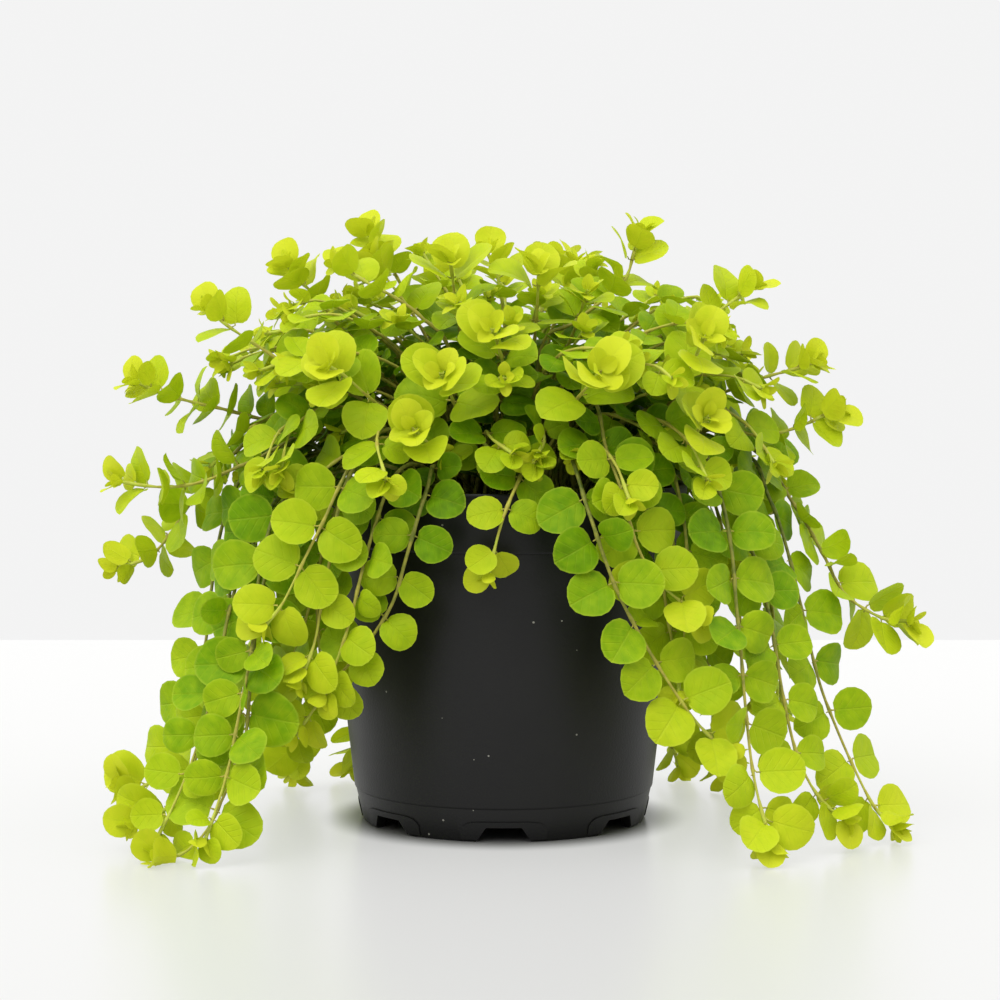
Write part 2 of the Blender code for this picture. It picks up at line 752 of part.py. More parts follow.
def build_soil(stems):
    """The root ball, with a plain hole for each stem."""
    top_radius = inner_radius(BAND_FOOT) - GAP
    profile = [
        (0, FLOOR_TOP + GAP),
        (inner_radius(FLOOR_TOP) - GAP - SOIL_EDGE, FLOOR_TOP + GAP),
        (top_radius, BAND_FOOT),
        (top_radius, SOIL_TOP - SOIL_EDGE),
        (top_radius - SOIL_BORDER, SOIL_TOP),
        (0, SOIL_TOP + SOIL_CROWN),
    ]
    brown = material("potting_soil", (0.022, 0.014, 0.009), 0.95)
    soil = turned_solid("soil", profile, SOIL_SIDES, brown)
    holes = []
    for stem in stems:
        way, hand = hands_along(stem)[0]
        corners = [corner[:2] for corner in section(stem.line[0], way, hand, STEM_RADIUS + 2 * GAP)]
        points, faces = prism(corners, STEM_FOOT - GAP, SOIL_TOP + SOIL_CROWN + CUT_EXTRA)
        holes.append(cutter(f"hole_{stem.name}", points, faces))
    cut_with(soil, holes)


def tube(stem):
    """Points and faces of a stem: a three-sided tube along its line that thins to its tip."""
    points = []
    last = len(stem.line) - 1
    for station, (way, hand) in enumerate(hands_along(stem)):
        radius = STEM_RADIUS * (1 - (1 - STEM_TIP_SHARE) * station / last)
        points += section(stem.line[station], way, hand, radius)
    faces = [(2, 1, 0), tuple(len(points) - 3 + step for step in range(3))]
    for ring in range(last):
        for step in range(3):
            after = (step + 1) % 3
            low, high = 3 * ring, 3 * ring + 3
            faces.append((low + step, low + after, high + after))
            faces.append((low + step, high + after, high + step))
    return points, faces


def blade(seat):
    """Points and faces of a blade: a round leaf on a short stalk, arched along its length."""
    across = np.cross(seat.face, seat.along)
    middle = PETIOLE + BLADE_MIDDLE * seat.radius
    half = []
    for angle in SMALL_BLADE_ANGLES if seat.radius < SMALL_BLADE else BLADE_ANGLES:
        turn = math.radians(angle)
        reach = BLADE_SWELL * seat.radius
        half.append((middle + reach * math.cos(turn), -reach * math.sin(turn)))
    outline = [(0.0, 0.0), *half, *((x, -y) for x, y in reversed(half))]
    points = []
    for level in (0.5, -0.5):
        for x, y in outline:
            sag = -BLADE_ARCH * seat.radius * ((x - middle) / seat.radius) ** 2 if x else 0
            rise = sag + level * BLADE_THICKNESS
            points.append(seat.root + seat.along * x + across * y + seat.face * rise)
    count = len(outline)
    faces = [(0, 1, count - 1)]
    for low in range(1, count // 2):
        high = count - low
        faces += [(low, low + 1, high - 1), (low, high - 1, high)]
    faces += [tuple(corner + count for corner in reversed(face)) for face in faces]
    for index in range(count):
        after = (index + 1) % count
        faces += [(after, index, index + count), (after, index + count, after + count)]
    return points, faces


def build_stem(stem, seats, dressed):
    """A leafy stem as one body: its tube joined with its blades."""
    made = new_object(stem.name, *tube(stem), dressed)
    group = bpy.data.collections.new(stem.name + "_blades")
    bpy.context.scene.collection.children.link(group)
    for index, seat in enumerate(seats):
        leaf = new_object(f"{stem.name}_blade_{index + 1}", *blade(seat), dressed)
        bpy.context.scene.collection.objects.unlink(leaf)
        group.objects.link(leaf)
    join = made.modifiers.new("Join", "BOOLEAN")
    join.operation = "UNION"
    join.operand_type = "COLLECTION"
    join.collection = group
    join.solver = "MANIFOLD"
    bpy.context.view_layer.objects.active = made
    bpy.ops.object.modifier_apply(modifier=join.name)
    for leaf in list(group.objects):
        bpy.data.objects.remove(leaf)
    bpy.data.collections.remove(group)


def main():
    for old in list(bpy.data.objects):
        bpy.data.objects.remove(old)
    stems = grown_stems()
    room = Room(stems)
    green = material("leaf_green", (0.36, 0.47, 0.03), 0.5)
    build_pot()
    build_soil(stems)
    for number, stem in enumerate(stems):
        build_stem(stem, blade_seats(stem, number, room), green)


main()
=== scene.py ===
"""A potted creeping jenny: fine leaves, stems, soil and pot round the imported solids.

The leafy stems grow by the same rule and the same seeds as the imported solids, so each
fine stem replaces the solid of its name, leaf for leaf. Shoots and leaf pairs that the
solids leave out are then grown into the room that is left. Lengths are in mm until a
mesh is made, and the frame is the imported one: Z up, -Y towards the photograph's viewer.
"""

from __future__ import annotations

import sys

import json
import logging
import math
import random
from collections.abc import Iterable, Iterator, Sequence
from dataclasses import dataclass, field, replace
from enum import Enum

import bpy
import numpy as np
from mathutils import Matrix, Vector, noise

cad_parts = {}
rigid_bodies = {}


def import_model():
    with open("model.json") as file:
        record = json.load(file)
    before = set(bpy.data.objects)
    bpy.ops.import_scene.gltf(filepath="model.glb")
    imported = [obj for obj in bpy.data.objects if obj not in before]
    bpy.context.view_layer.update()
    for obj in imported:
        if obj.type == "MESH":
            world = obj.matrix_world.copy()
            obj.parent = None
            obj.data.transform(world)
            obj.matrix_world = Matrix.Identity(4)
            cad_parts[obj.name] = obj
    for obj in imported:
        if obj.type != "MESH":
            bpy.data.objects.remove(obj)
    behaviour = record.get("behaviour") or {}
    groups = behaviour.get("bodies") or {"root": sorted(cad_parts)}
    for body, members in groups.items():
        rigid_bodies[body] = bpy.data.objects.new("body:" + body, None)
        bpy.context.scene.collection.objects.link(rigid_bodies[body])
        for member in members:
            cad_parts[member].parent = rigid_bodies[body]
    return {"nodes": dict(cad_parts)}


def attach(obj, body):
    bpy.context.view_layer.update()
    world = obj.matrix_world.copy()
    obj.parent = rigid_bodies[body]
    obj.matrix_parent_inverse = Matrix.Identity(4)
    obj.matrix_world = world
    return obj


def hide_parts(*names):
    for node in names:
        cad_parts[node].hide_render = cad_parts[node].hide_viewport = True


MM = 0.001
SEED = 11
BODY = "root"
LOG = logging.getLogger("creeping_jenny")

Link = tuple[bpy.types.Node, "int | str"]

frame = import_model()


class Slot(Enum):
    """The record's material slots."""

    POT = "black_plastic"
    SOIL = "potting_soil"
    LEAF = "leaf_green"


# Colour and nodes


def linear(code: str) -> tuple[float, float, float, float]:
    """Turns an sRGB hex colour to linear.

    Args:
        code: Six hex digits, with or without a leading hash.

    Returns:
        Red, green, blue and an alpha of 1.
    """
    shares = [int(code.lstrip("#")[at : at + 2], 16) / 255 for at in (0, 2, 4)]
    parts = [s / 12.92 if s <= 0.04045 else ((s + 0.055) / 1.055) ** 2.4 for s in shares]
    return parts[0], parts[1], parts[2], 1.0


def add_node(
    tree: bpy.types.NodeTree,
    kind: str,
    settings: dict[str, object] | None = None,
    values: dict[int | str, object] | None = None,
    links: dict[int | str, Link] | None = None,
) -> bpy.types.Node:
    """Adds one shader node.

    Args:
        tree: The node tree that it goes into.
        kind: The node's type, without the ShaderNode that each starts with.
        settings: The node's own properties.
        values: Constants for its inputs, by name or number.
        links: Sources for its inputs, by name or number: a node and its output.

    Returns:
        The new node.
    """
    node = tree.nodes.new("ShaderNode" + kind)
    for name, value in (settings or {}).items():
        setattr(node, name, value)
    for socket, value in (values or {}).items():
        node.inputs[socket].default_value = value
    for socket, (source, output) in (links or {}).items():
        tree.links.new(source.outputs[output], node.inputs[socket])
    return node


def set_ramp(node: bpy.types.Node, stops: Sequence[tuple[float, str]]) -> None:
    """Sets a colour ramp's stops.

    Args:
        node: The ramp node.
        stops: Places from 0 to 1, each with its hex colour.
    """
    elements = node.color_ramp.elements
    while len(elements) < len(stops):
        elements.new(0.5)
    for element, (place, code) in zip(elements, stops):
        element.position = place
        element.color = linear(code)


# What nodes of several finishes and of the light are set to.
SMOOTH = {"interpolation_type": "SMOOTHSTEP"}
COLOURS = {"data_type": "RGBA"}
PLUS, MINUS, TIMES, SIZE = ({"operation": name} for name in ("ADD", "SUBTRACT", "MULTIPLY", "ABSOLUTE"))


class Finish:
    """A surface: a named material that is built once, when it is first asked for."""

    name = "finish"

    def material(self) -> bpy.types.Material:
        """Finds the finish's material, or builds it on first use.

        Returns:
            The material.
        """
        made = bpy.data.materials.get(self.name)
        if made is None:
            made = bpy.data.materials.new(self.name)
            made.use_nodes = True
            made.node_tree.nodes.clear()
            output = add_node(made.node_tree, "OutputMaterial")
            surface = self.surface(made.node_tree)
            made.node_tree.links.new(surface.outputs[0], output.inputs["Surface"])
        return made

    def dress(self, piece: bpy.types.Object) -> None:
        """Gives a piece this finish and no other."""
        piece.data.materials.clear()
        piece.data.materials.append(self.material())

    def surface(self, tree: bpy.types.NodeTree) -> bpy.types.Node:
        """Builds the shader.

        Args:
            tree: The material's node tree.

        Returns:
            The node whose first output is the surface.
        """
        raise NotImplementedError


@dataclass(frozen=True)
class MouldedPolypropylene(Finish):
    """Black polypropylene, injection moulded: satin, with a fine spark-eroded grain.

    The grain spreads the highlight, the wall's colour and gloss drift a little with its
    thickness, and handling has left a few specks of pale dust.
    """

    name = "black_moulded_polypropylene"
    colour: str = "0B0B0B"
    worn: str = "121211"
    dust: str = "B5B3A8"
    roughness: float = 0.43
    grain_mm: float = 0.7  # the real grain is 0.1 mm: drawn this coarse to show at all
    drift_mm: float = 34.0
    speck_mm: float = 4.6
    speck_size: float = 0.075
    specks_bare: float = 0.83

    def surface(self, tree: bpy.types.NodeTree) -> bpy.types.Node:
        """Builds the shader.

        Args:
            tree: The material's node tree.

        Returns:
            The node whose first output is the surface.
        """
        place = (add_node(tree, "TexCoord"), "Object")
        drift = add_node(
            tree, "TexNoise", values={"Scale": 1000 / self.drift_mm, "Detail": 3.0}, links={"Vector": place}
        )
        body = add_node(tree, "ValToRGB", links={"Fac": (drift, 0)})
        set_ramp(body, ((0.35, self.colour), (0.72, self.worn)))
        cells = add_node(tree, "TexVoronoi", values={"Scale": 1000 / self.speck_mm}, links={"Vector": place})
        near = add_node(
            tree, "Math", {"operation": "LESS_THAN"}, {1: self.speck_size}, {0: (cells, "Distance")}
        )
        tint = add_node(tree, "SeparateColor", links={0: (cells, "Color")})
        few = add_node(tree, "Math", {"operation": "GREATER_THAN"}, {1: self.specks_bare}, {0: (tint, "Red")})
        speck = add_node(tree, "Math", TIMES, links={0: (near, 0), 1: (few, 0)})
        faint = add_node(tree, "Math", TIMES, {1: 0.5}, {0: (speck, 0)})
        dusty = add_node(tree, "Mix", COLOURS, {7: linear(self.dust)}, {0: (faint, 0), 6: (body, 0)})
        grain = add_node(
            tree, "TexNoise", values={"Scale": 1000 / self.grain_mm, "Detail": 2.0}, links={"Vector": place}
        )
        bump = add_node(tree, "Bump", None, {"Strength": 0.18, "Distance": 0.0003}, {"Height": (grain, 0)})
        sheen = add_node(
            tree, "MapRange", None, {3: self.roughness - 0.05, 4: self.roughness + 0.07}, {0: (drift, 0)}
        )
        return add_node(
            tree, "BsdfPrincipled", values={"IOR": 1.49, "Specular IOR Level": 0.32},
            links={"Base Color": (dusty, 2), "Roughness": (sheen, 0), "Normal": (bump, 0)},
        )


@dataclass(frozen=True)
class MoistPeat(Finish):
    """Potting soil: moist peat and bark, which is dark, matt and crumbly."""

    name = "moist_peat"
    dark: str = "1B120C"
    light: str = "4A3524"
    crumb_mm: float = 3.0

    def surface(self, tree: bpy.types.NodeTree) -> bpy.types.Node:
        """Builds the shader.

        Args:
            tree: The material's node tree.

        Returns:
            The node whose first output is the surface.
        """
        crumbs = add_node(
            tree, "TexNoise", values={"Scale": 1000 / self.crumb_mm, "Detail": 6.0, "Roughness": 0.7},
            links={"Vector": (add_node(tree, "TexCoord"), "Object")},
        )
        colour = add_node(tree, "ValToRGB", links={"Fac": (crumbs, 0)})
        set_ramp(colour, ((0.38, self.dark), (0.68, self.light)))
        bump = add_node(tree, "Bump", None, {"Strength": 0.9, "Distance": 0.0015}, {"Height": (crumbs, 0)})
        return add_node(
            tree, "BsdfPrincipled", values={"Roughness": 0.92},
            links={"Base Color": (colour, 0), "Normal": (bump, 0)},
        )


@dataclass(frozen=True)
class LeafSkin(Finish):
    """Golden creeping jenny leaf: thin, supple and softly glossy.

    Young leaves are yellow, older ones turn green, and leaves near the mound's heart get a
    painted shade that turns them darker green. A pale midrib and sunk side veins run out to
    a thin pale margin, and light that falls on the far side glows through.
    """

    name = "golden_leaf_skin"
    ages: tuple[tuple[float, str], ...] = (
        (0.0, "1C4600"), (0.28, "6F9A06"), (0.55, "A2BC14"), (0.8, "BACA1E"), (1.0, "C8D028"),
    )
    vein: str = "B4C434"
    margin: str = "C3CF44"
    through: float = 0.3
    mottle_mm: float = 3.846
    side_veins: float = 2.6
    vein_shows: float = 0.15

    def vein_lines(self, tree: bpy.types.NodeTree, spot: bpy.types.Node) -> bpy.types.Node:
        """Draws the midrib and the slanting side veins, which fade towards the margin.

        Args:
            tree: The material's node tree.
            spot: The place on the leaf, -X at its base.

        Returns:
            A node that gives 1 on a vein and 0 beside it.
        """
        axes = add_node(tree, "SeparateXYZ", links={0: (spot, 0)})
        off = add_node(tree, "Math", SIZE, links={0: (axes, "Y")})
        midrib = add_node(tree, "MapRange", SMOOTH, {1: 0.0, 2: 0.065, 3: 1.0, 4: 0.0}, {0: (off, 0)})
        bent = add_node(tree, "Math", {"operation": "POWER"}, {1: 0.8}, {0: (off, 0)})
        slant = add_node(tree, "Math", TIMES, {1: 0.72}, {0: (bent, 0)})
        along = add_node(tree, "Math", MINUS, links={0: (axes, "X"), 1: (slant, 0)})
        wave = add_node(tree, "Math", TIMES, {1: self.side_veins}, {0: (along, 0)})
        saw = add_node(tree, "Math", {"operation": "PINGPONG"}, {1: 0.5}, {0: (wave, 0)})
        side = add_node(tree, "MapRange", SMOOTH, {1: 0.0, 2: 0.13, 3: 1.0, 4: 0.0}, {0: (saw, 0)})
        fading = add_node(tree, "MapRange", None, {1: 0.5, 2: 0.92, 3: 0.55, 4: 0.0}, {0: (off, 0)})
        veins = add_node(tree, "Math", TIMES, links={0: (side, 0), 1: (fading, 0)})
        return add_node(tree, "Math", {"operation": "MAXIMUM"}, links={0: (midrib, 0), 1: (veins, 0)})

    def surface(self, tree: bpy.types.NodeTree) -> bpy.types.Node:
        """Builds the shader.

        Args:
            tree: The material's node tree.

        Returns:
            The node whose first output is the surface.
        """
        # The attribute read here is each leaf's youth less a painted shade, so leaves near the mound's heart
        # come out darker green.
        age_and_shade = add_node(tree, "Attribute", {"attribute_name": "youth"})
        chance = add_node(tree, "Attribute", {"attribute_name": "chance"})
        mottle = add_node(
            tree, "TexNoise", values={"Scale": 1000 / self.mottle_mm, "Detail": 2.0},
            links={"Vector": (add_node(tree, "TexCoord"), "Object")},
        )
        drift = add_node(tree, "MapRange", None, {1: 0.3, 2: 0.7, 3: -0.07, 4: 0.07}, {0: (mottle, 0)})
        apart = add_node(tree, "MapRange", None, {3: -0.1, 4: 0.1}, {0: (chance, "Fac")})
        mixed = add_node(tree, "Math", PLUS, links={0: (drift, 0), 1: (apart, 0)})
        aged_and_shaded = add_node(tree, "Math", PLUS, links={0: (age_and_shade, "Fac"), 1: (mixed, 0)})
        body = add_node(tree, "ValToRGB", links={"Fac": (aged_and_shaded, 0)})
        set_ramp(body, self.ages)
        spot = add_node(tree, "UVMap", {"uv_map": "leaf"})
        lines = self.vein_lines(tree, spot)
        shown = add_node(tree, "Math", TIMES, {1: self.vein_shows}, {0: (lines, 0)})
        veined = add_node(tree, "Mix", COLOURS, {7: linear(self.vein)}, {0: (shown, 0), 6: (body, 0)})
        reach = add_node(tree, "VectorMath", {"operation": "LENGTH"}, links={0: (spot, 0)})
        rim = add_node(tree, "MapRange", SMOOTH, {1: 0.88, 2: 1.0, 3: 0.0, 4: 0.28}, {0: (reach, "Value")})
        colour = add_node(tree, "Mix", COLOURS, {7: linear(self.margin)}, {0: (rim, 0), 6: (veined, 2)})
        grown = add_node(tree, "MapRange", None, {1: 0.7, 2: 1.0, 3: -1.2, 4: -0.3}, {0: (age_and_shade, "Fac")})
        sunk = add_node(tree, "Math", TIMES, links={0: (lines, 0), 1: (grown, 0)})
        bump = add_node(tree, "Bump", None, {"Strength": 0.6, "Distance": 0.0002}, {"Height": (sunk, 0)})
        skin = add_node(
            tree, "BsdfPrincipled", values={"Roughness": 0.5, "IOR": 1.42, "Specular IOR Level": 0.14},
            links={"Base Color": (colour, 2), "Normal": (bump, 0)},
        )
        glow = add_node(tree, "BsdfTranslucent", links={"Color": (colour, 2), "Normal": (bump, 0)})
        return add_node(tree, "MixShader", values={0: self.through}, links={1: (skin, 0), 2: (glow, 0)})


@dataclass(frozen=True)
class StemSkin(Finish):
    """Creeping jenny stem: juicy and smooth, yellow-green at the tip and ruddy where it is old."""

    name = "creeping_stem_skin"
    ages: tuple[tuple[float, str], ...] = (
        (0.0, "40541A"), (0.3, "7C7E34"), (0.65, "A69E42"), (1.0, "B0BC44"),
    )
    streak_mm: float = 2.5

    def surface(self, tree: bpy.types.NodeTree) -> bpy.types.Node:
        """Builds the shader.

        Args:
            tree: The material's node tree.

        Returns:
            The node whose first output is the surface.
        """
        # On leaf stalks the attribute read here also carries their leaf's painted shade.
        age_and_shade = add_node(tree, "Attribute", {"attribute_name": "youth"})
        streaks = add_node(
            tree, "TexNoise", values={"Scale": 1000 / self.streak_mm, "Detail": 2.0},
            links={"Vector": (add_node(tree, "TexCoord"), "Object")},
        )
        drift = add_node(tree, "MapRange", None, {1: 0.3, 2: 0.7, 3: -0.16, 4: 0.16}, {0: (streaks, 0)})
        aged_and_shaded = add_node(tree, "Math", PLUS, links={0: (age_and_shade, "Fac"), 1: (drift, 0)})
        colour = add_node(tree, "ValToRGB", links={"Fac": (aged_and_shaded, 0)})
        set_ramp(colour, self.ages)
        return add_node(
            tree, "BsdfPrincipled", values={"Roughness": 0.45, "IOR": 1.42, "Specular IOR Level": 0.2},
            links={"Base Color": (colour, 0)},
        )


@dataclass(frozen=True)
class OpalAcrylic(Finish):
    """The table: polished opal acrylic with a painted glow, so that shadows on it stay pale.

    A round mask keeps the glow out under the pot's foot and its gaps and fades it back in round the foot,
    which paints a shadow there. Metres.
    """

    name = "opal_acrylic_lit_through"
    colour: str = "757574"
    glow: str = "FFFFFE"
    lit: float = 0.49
    painted_shadow_in: float = 0.0452
    painted_shadow_out: float = 0.062

    def surface(self, tree: bpy.types.NodeTree) -> bpy.types.Node:
        """Builds the shader.

        Args:
            tree: The material's node tree.

        Returns:
            The node whose first output is the surface.
        """
        place = (add_node(tree, "TexCoord"), "Object")
        far = add_node(tree, "VectorMath", {"operation": "LENGTH"}, links={0: place})
        # The glow is painted light; this ring fades it in from the pot's foot, which paints the shadow round
        # the foot.
        painted_shadow_ring = {1: self.painted_shadow_in, 2: self.painted_shadow_out, 3: 0.0, 4: self.lit}
        lit = add_node(tree, "MapRange", SMOOTH, painted_shadow_ring, {0: (far, "Value")})
        looks = {"Base Color": linear(self.colour), "Roughness": 0.3, "Specular IOR Level": 0.35}
        return add_node(
            tree, "BsdfPrincipled", values={**looks, "Emission Color": linear(self.glow)},
            links={"Emission Strength": (lit, 0)},
        )


# Modelling


def deselect_all() -> None:
    """Leaves nothing selected and nothing in edit mode."""
    if bpy.context.object and bpy.context.object.mode != "OBJECT":
        bpy.ops.object.mode_set(mode="OBJECT")
    bpy.ops.object.select_all(action="DESELECT")


def hold(piece: bpy.types.Object) -> None:
    """Leaves one piece selected and active, and nothing else.

    Args:
        piece: The piece.
    """
    deselect_all()
    piece.select_set(True)
    bpy.context.view_layer.objects.active = piece


def open_up() -> bpy.types.Object:
    """Puts the new primitive in edit mode with all of it selected.

    Returns:
        The primitive.
    """
    bpy.ops.object.mode_set(mode="EDIT")
    bpy.ops.mesh.select_all(action="SELECT")
    return bpy.context.object


def face_outwards() -> None:
    """Turns all faces of the piece in edit mode outwards and leaves edit mode."""
    bpy.ops.mesh.select_all(action="SELECT")
    bpy.ops.mesh.normals_make_consistent(inside=False)
    bpy.ops.object.mode_set(mode="OBJECT")


def placed(name: str, data: bpy.types.ID) -> bpy.types.Object:
    """Puts a new object into the scene.

    Args:
        name: Its name.
        data: Its mesh, curve, lamp or camera.

    Returns:
        The object.
    """
    made = bpy.data.objects.new(name, data)
    bpy.context.scene.collection.objects.link(made)
    return made


def joined(name: str, parts: Sequence[bpy.types.Object]) -> bpy.types.Object:
    """Joins objects into the first of them.

    Args:
        name: The name that the result gets.
        parts: The objects, of which the first keeps its materials' order.

    Returns:
        The joined piece.
    """
    piece = parts[0]
    hold(piece)
    for part in parts:
        part.select_set(True)
    if len(parts) > 1:
        bpy.ops.object.join()
    piece.name = piece.data.name = name
    return piece


def turned_form(name: str, profile: Sequence[tuple[float, float]], sides: int) -> bpy.types.Object:
    """Turns a closed form on the Z axis, ring by ring, from a circle.

    Args:
        name: The piece's name.
        profile: (radius, height) in mm from the first ring to the last; both are closed flat.
        sides: Points in each ring.

    Returns:
        The piece, its faces outwards.
    """
    deselect_all()
    radius, height = profile[0]
    bpy.ops.mesh.primitive_circle_add(
        vertices=sides, radius=radius * MM, fill_type="NOTHING", location=(0, 0, height * MM)
    )
    bpy.ops.object.transform_apply(location=True)
    piece = open_up()
    piece.name = name
    bpy.ops.mesh.edge_face_add()
    bpy.ops.mesh.select_all(action="SELECT")
    bpy.ops.mesh.select_mode(type="EDGE")
    for (before, low), (after, high) in zip(profile, profile[1:]):
        bpy.ops.mesh.extrude_edges_move(TRANSFORM_OT_translate={"value": (0, 0, (high - low) * MM)})
        scale = after / before
        bpy.ops.transform.resize(value=(scale, scale, 1), center_override=(0, 0, high * MM))
    bpy.ops.mesh.edge_face_add()
    face_outwards()
    return piece


def cut(piece: bpy.types.Object, tools: Sequence[bpy.types.Object], how: str) -> None:
    """Cuts tools out of a piece, or adds them to it, and removes them.

    Args:
        piece: The piece, which keeps the result.
        tools: Closed objects.
        how: The Boolean's operation.
    """
    group = bpy.data.collections.new("tools")
    bpy.context.scene.collection.children.link(group)
    for tool in tools:
        for old in list(tool.users_collection):
            old.objects.unlink(tool)
        group.objects.link(tool)
    step = piece.modifiers.new("Cut", "BOOLEAN")
    step.operation = how
    step.operand_type = "COLLECTION"
    step.collection = group
    step.solver = "EXACT"
    hold(piece)
    bpy.ops.object.modifier_apply(modifier=step.name)
    for tool in list(group.objects):
        bpy.data.objects.remove(tool)
    bpy.data.collections.remove(group)


def finished(
    piece: bpy.types.Object, slot: Slot, nodes: Sequence[str] = (), angle: float | None = None
) -> bpy.types.Object:
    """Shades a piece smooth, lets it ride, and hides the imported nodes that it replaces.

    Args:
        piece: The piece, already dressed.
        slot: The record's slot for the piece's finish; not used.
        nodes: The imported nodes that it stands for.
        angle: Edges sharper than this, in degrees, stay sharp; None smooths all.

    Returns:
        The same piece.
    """
    hold(piece)
    if angle is None:
        bpy.ops.object.shade_smooth()
    else:
        bpy.ops.object.shade_smooth_by_angle(angle=math.radians(angle))
    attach(piece, BODY)
    if nodes:
        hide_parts(*nodes)
    LOG.info("%s: %d faces", piece.name, len(piece.data.polygons))
    return piece


# The pot and the soil


@dataclass
class Pot:
    """The nursery pot: a tapered wall, a band at the rim, a raised floor and a notched foot.

    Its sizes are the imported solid's, in mm, with the corners' rounding added. The corner
    sizes are shares of a collar, which is rounded from corner_from of its height up.
    """

    height: float = 110.5
    foot_radius: float = 46.4
    foot_ring: float = 2.8
    foot_corner: float = 0.8
    step_height: float = 11.0
    step_radius: float = 49.1
    step_depth: float = 0.55
    shoulder_radius: float = 58.2
    band_foot: float = 92.0
    band_radius: float = 59.3
    rim_radius: float = 60.1
    wall: float = 1.4
    floor_underside: float = 5.4
    floor_top: float = 6.8
    sides: int = 112
    notches: int = 7
    notch_top: float = 11.3
    notch_foot: float = 17.5
    notch_height: float = 4.8
    collar_half: float = 13.6
    collar_top: float = 6.6
    collar_foot: float = 0.7
    collar_droop: float = 0.1
    collar_rise: float = 0.13
    collar_sink: float = 0.7
    corner_from: float = 0.55
    corner_in: float = 0.16
    corner_span: float = 0.2
    drain_radius: float = 3.6
    drain_circle: float = 34.0
    finish: MouldedPolypropylene = field(default_factory=MouldedPolypropylene)

    def radius_at(self, height: float | np.ndarray) -> float | np.ndarray:
        """Finds the pot's outer radius in mm.

        Args:
            height: A height in mm, or many.

        Returns:
            The radius at each.
        """
        heights = (0, self.step_height, self.band_foot, self.band_foot + self.foot_corner, self.height)
        radii = (
            self.foot_radius, self.step_radius, self.shoulder_radius, self.band_radius, self.rim_radius,
        )
        return np.interp(height, heights, radii)

    def profile(self) -> list[tuple[float, float]]:
        """Draws the section of the pot.

        Returns:
            (radius, height) in mm, from the middle of the underside round to the floor's middle.
        """
        foot_in = self.foot_radius - self.foot_ring
        step = self.step_radius
        top = self.height
        return [
            (8, self.floor_underside),
            (foot_in - 0.6, self.floor_underside),
            (foot_in, self.floor_underside - 0.6),
            (foot_in, 0.4),
            (foot_in + 0.4, 0),
            (self.foot_radius - 0.9, 0),
            (self.foot_radius - 0.3, 0.25),
            (self.foot_radius, 0.8),
            (step - self.step_depth - 0.05, self.step_height - 0.9),
            (step - self.step_depth + 0.02, self.step_height - 0.35),
            (step - 0.12, self.step_height + 0.1),
            (step, self.step_height + 0.4),
            (self.radius_at(50), 50),
            (self.shoulder_radius - 0.1, self.band_foot - 1.5),
            (self.shoulder_radius, self.band_foot - 0.25),
            (self.band_radius - 0.25, self.band_foot),
            (self.band_radius, self.band_foot + 0.35),
            (self.rim_radius - 0.02, top - 1.1),
            (self.rim_radius - 0.02, top - 0.5),
            (self.rim_radius - 0.2, top - 0.12),
            (self.rim_radius - 0.55, top),
            (self.rim_radius - 1.1, top - 0.05),
            (self.rim_radius - 1.4, top - 0.4),
            (self.band_radius - self.wall, self.band_foot + 1.4),
            (self.shoulder_radius - self.wall, self.band_foot),
            (self.radius_at(self.floor_top) - self.wall, self.floor_top),
            (8, self.floor_top),
        ]

    def facing(self, index: int) -> Matrix:
        """The turn from +X to a notch's azimuth, the first at the front."""
        return Matrix.Rotation(-math.pi / 2 + 2 * math.pi * index / self.notches, 4, "Z")

    def wedge(self, index: int) -> bpy.types.Object:
        """Models the cutter for one notch.

        Args:
            index: The notch's number, from the front.

        Returns:
            A block that is wider at its foot.
        """
        deselect_all()
        low, high = -2.0, self.notch_height
        spread = (self.notch_foot - self.notch_top) / self.notch_height
        bpy.ops.mesh.primitive_cube_add(size=1)
        tool = bpy.context.object
        for corner in tool.data.vertices:
            up = corner.co.z > 0
            half = self.notch_top / 2 if up else self.notch_foot / 2 + spread
            corner.co = Vector((
                self.foot_radius + corner.co.x * 6 * self.foot_ring,
                math.copysign(half, corner.co.y),
                high if up else low,
            )) * MM
        tool.data.transform(self.facing(index))
        return tool

    def collar(self, index: int) -> bpy.types.Object:
        """Models the raised pad round one notch, which follows the wall.

        Args:
            index: The notch's number, from the front.

        Returns:
            A closed pad, sunk into the wall.
        """
        deselect_all()
        bpy.ops.mesh.primitive_grid_add(x_subdivisions=16, y_subdivisions=5, size=2)
        pad = open_up()
        bpy.ops.mesh.extrude_region_move(TRANSFORM_OT_translate={"value": (0, 0, 1)})
        face_outwards()
        for corner in pad.data.vertices:
            across, up, out = corner.co
            rise = (up + 1) / 2
            rounding = 1 - self.corner_in * max(0.0, rise - self.corner_from) ** 2 / self.corner_span
            tall = (self.collar_top - self.collar_foot) * rise
            height = self.collar_foot + tall * (1 - self.collar_droop * abs(across) ** 6)
            angle = across * rounding * self.collar_half / self.foot_radius
            radius = self.radius_at(height) + (self.collar_rise if out > 0.5 else -self.collar_sink)
            corner.co = Vector((radius * math.cos(angle), radius * math.sin(angle), height)) * MM
        pad.data.transform(self.facing(index))
        return pad

    def drains(self) -> list[bpy.types.Object]:
        """Models the cutters for the drain holes.

        Returns:
            One in the middle and one behind each notch.
        """
        places = [Vector((0, 0, 0))]
        for index in range(self.notches):
            places.append(self.facing(index) @ Vector((self.drain_circle, 0, 0)))
        made = []
        for place in places:
            deselect_all()
            bpy.ops.mesh.primitive_cylinder_add(
                vertices=20, radius=self.drain_radius * MM, depth=6 * MM,
                location=(place.x * MM, place.y * MM, self.floor_top * MM - 0.7 * MM),
            )
            bpy.ops.object.transform_apply(location=True)
            made.append(bpy.context.object)
        return made

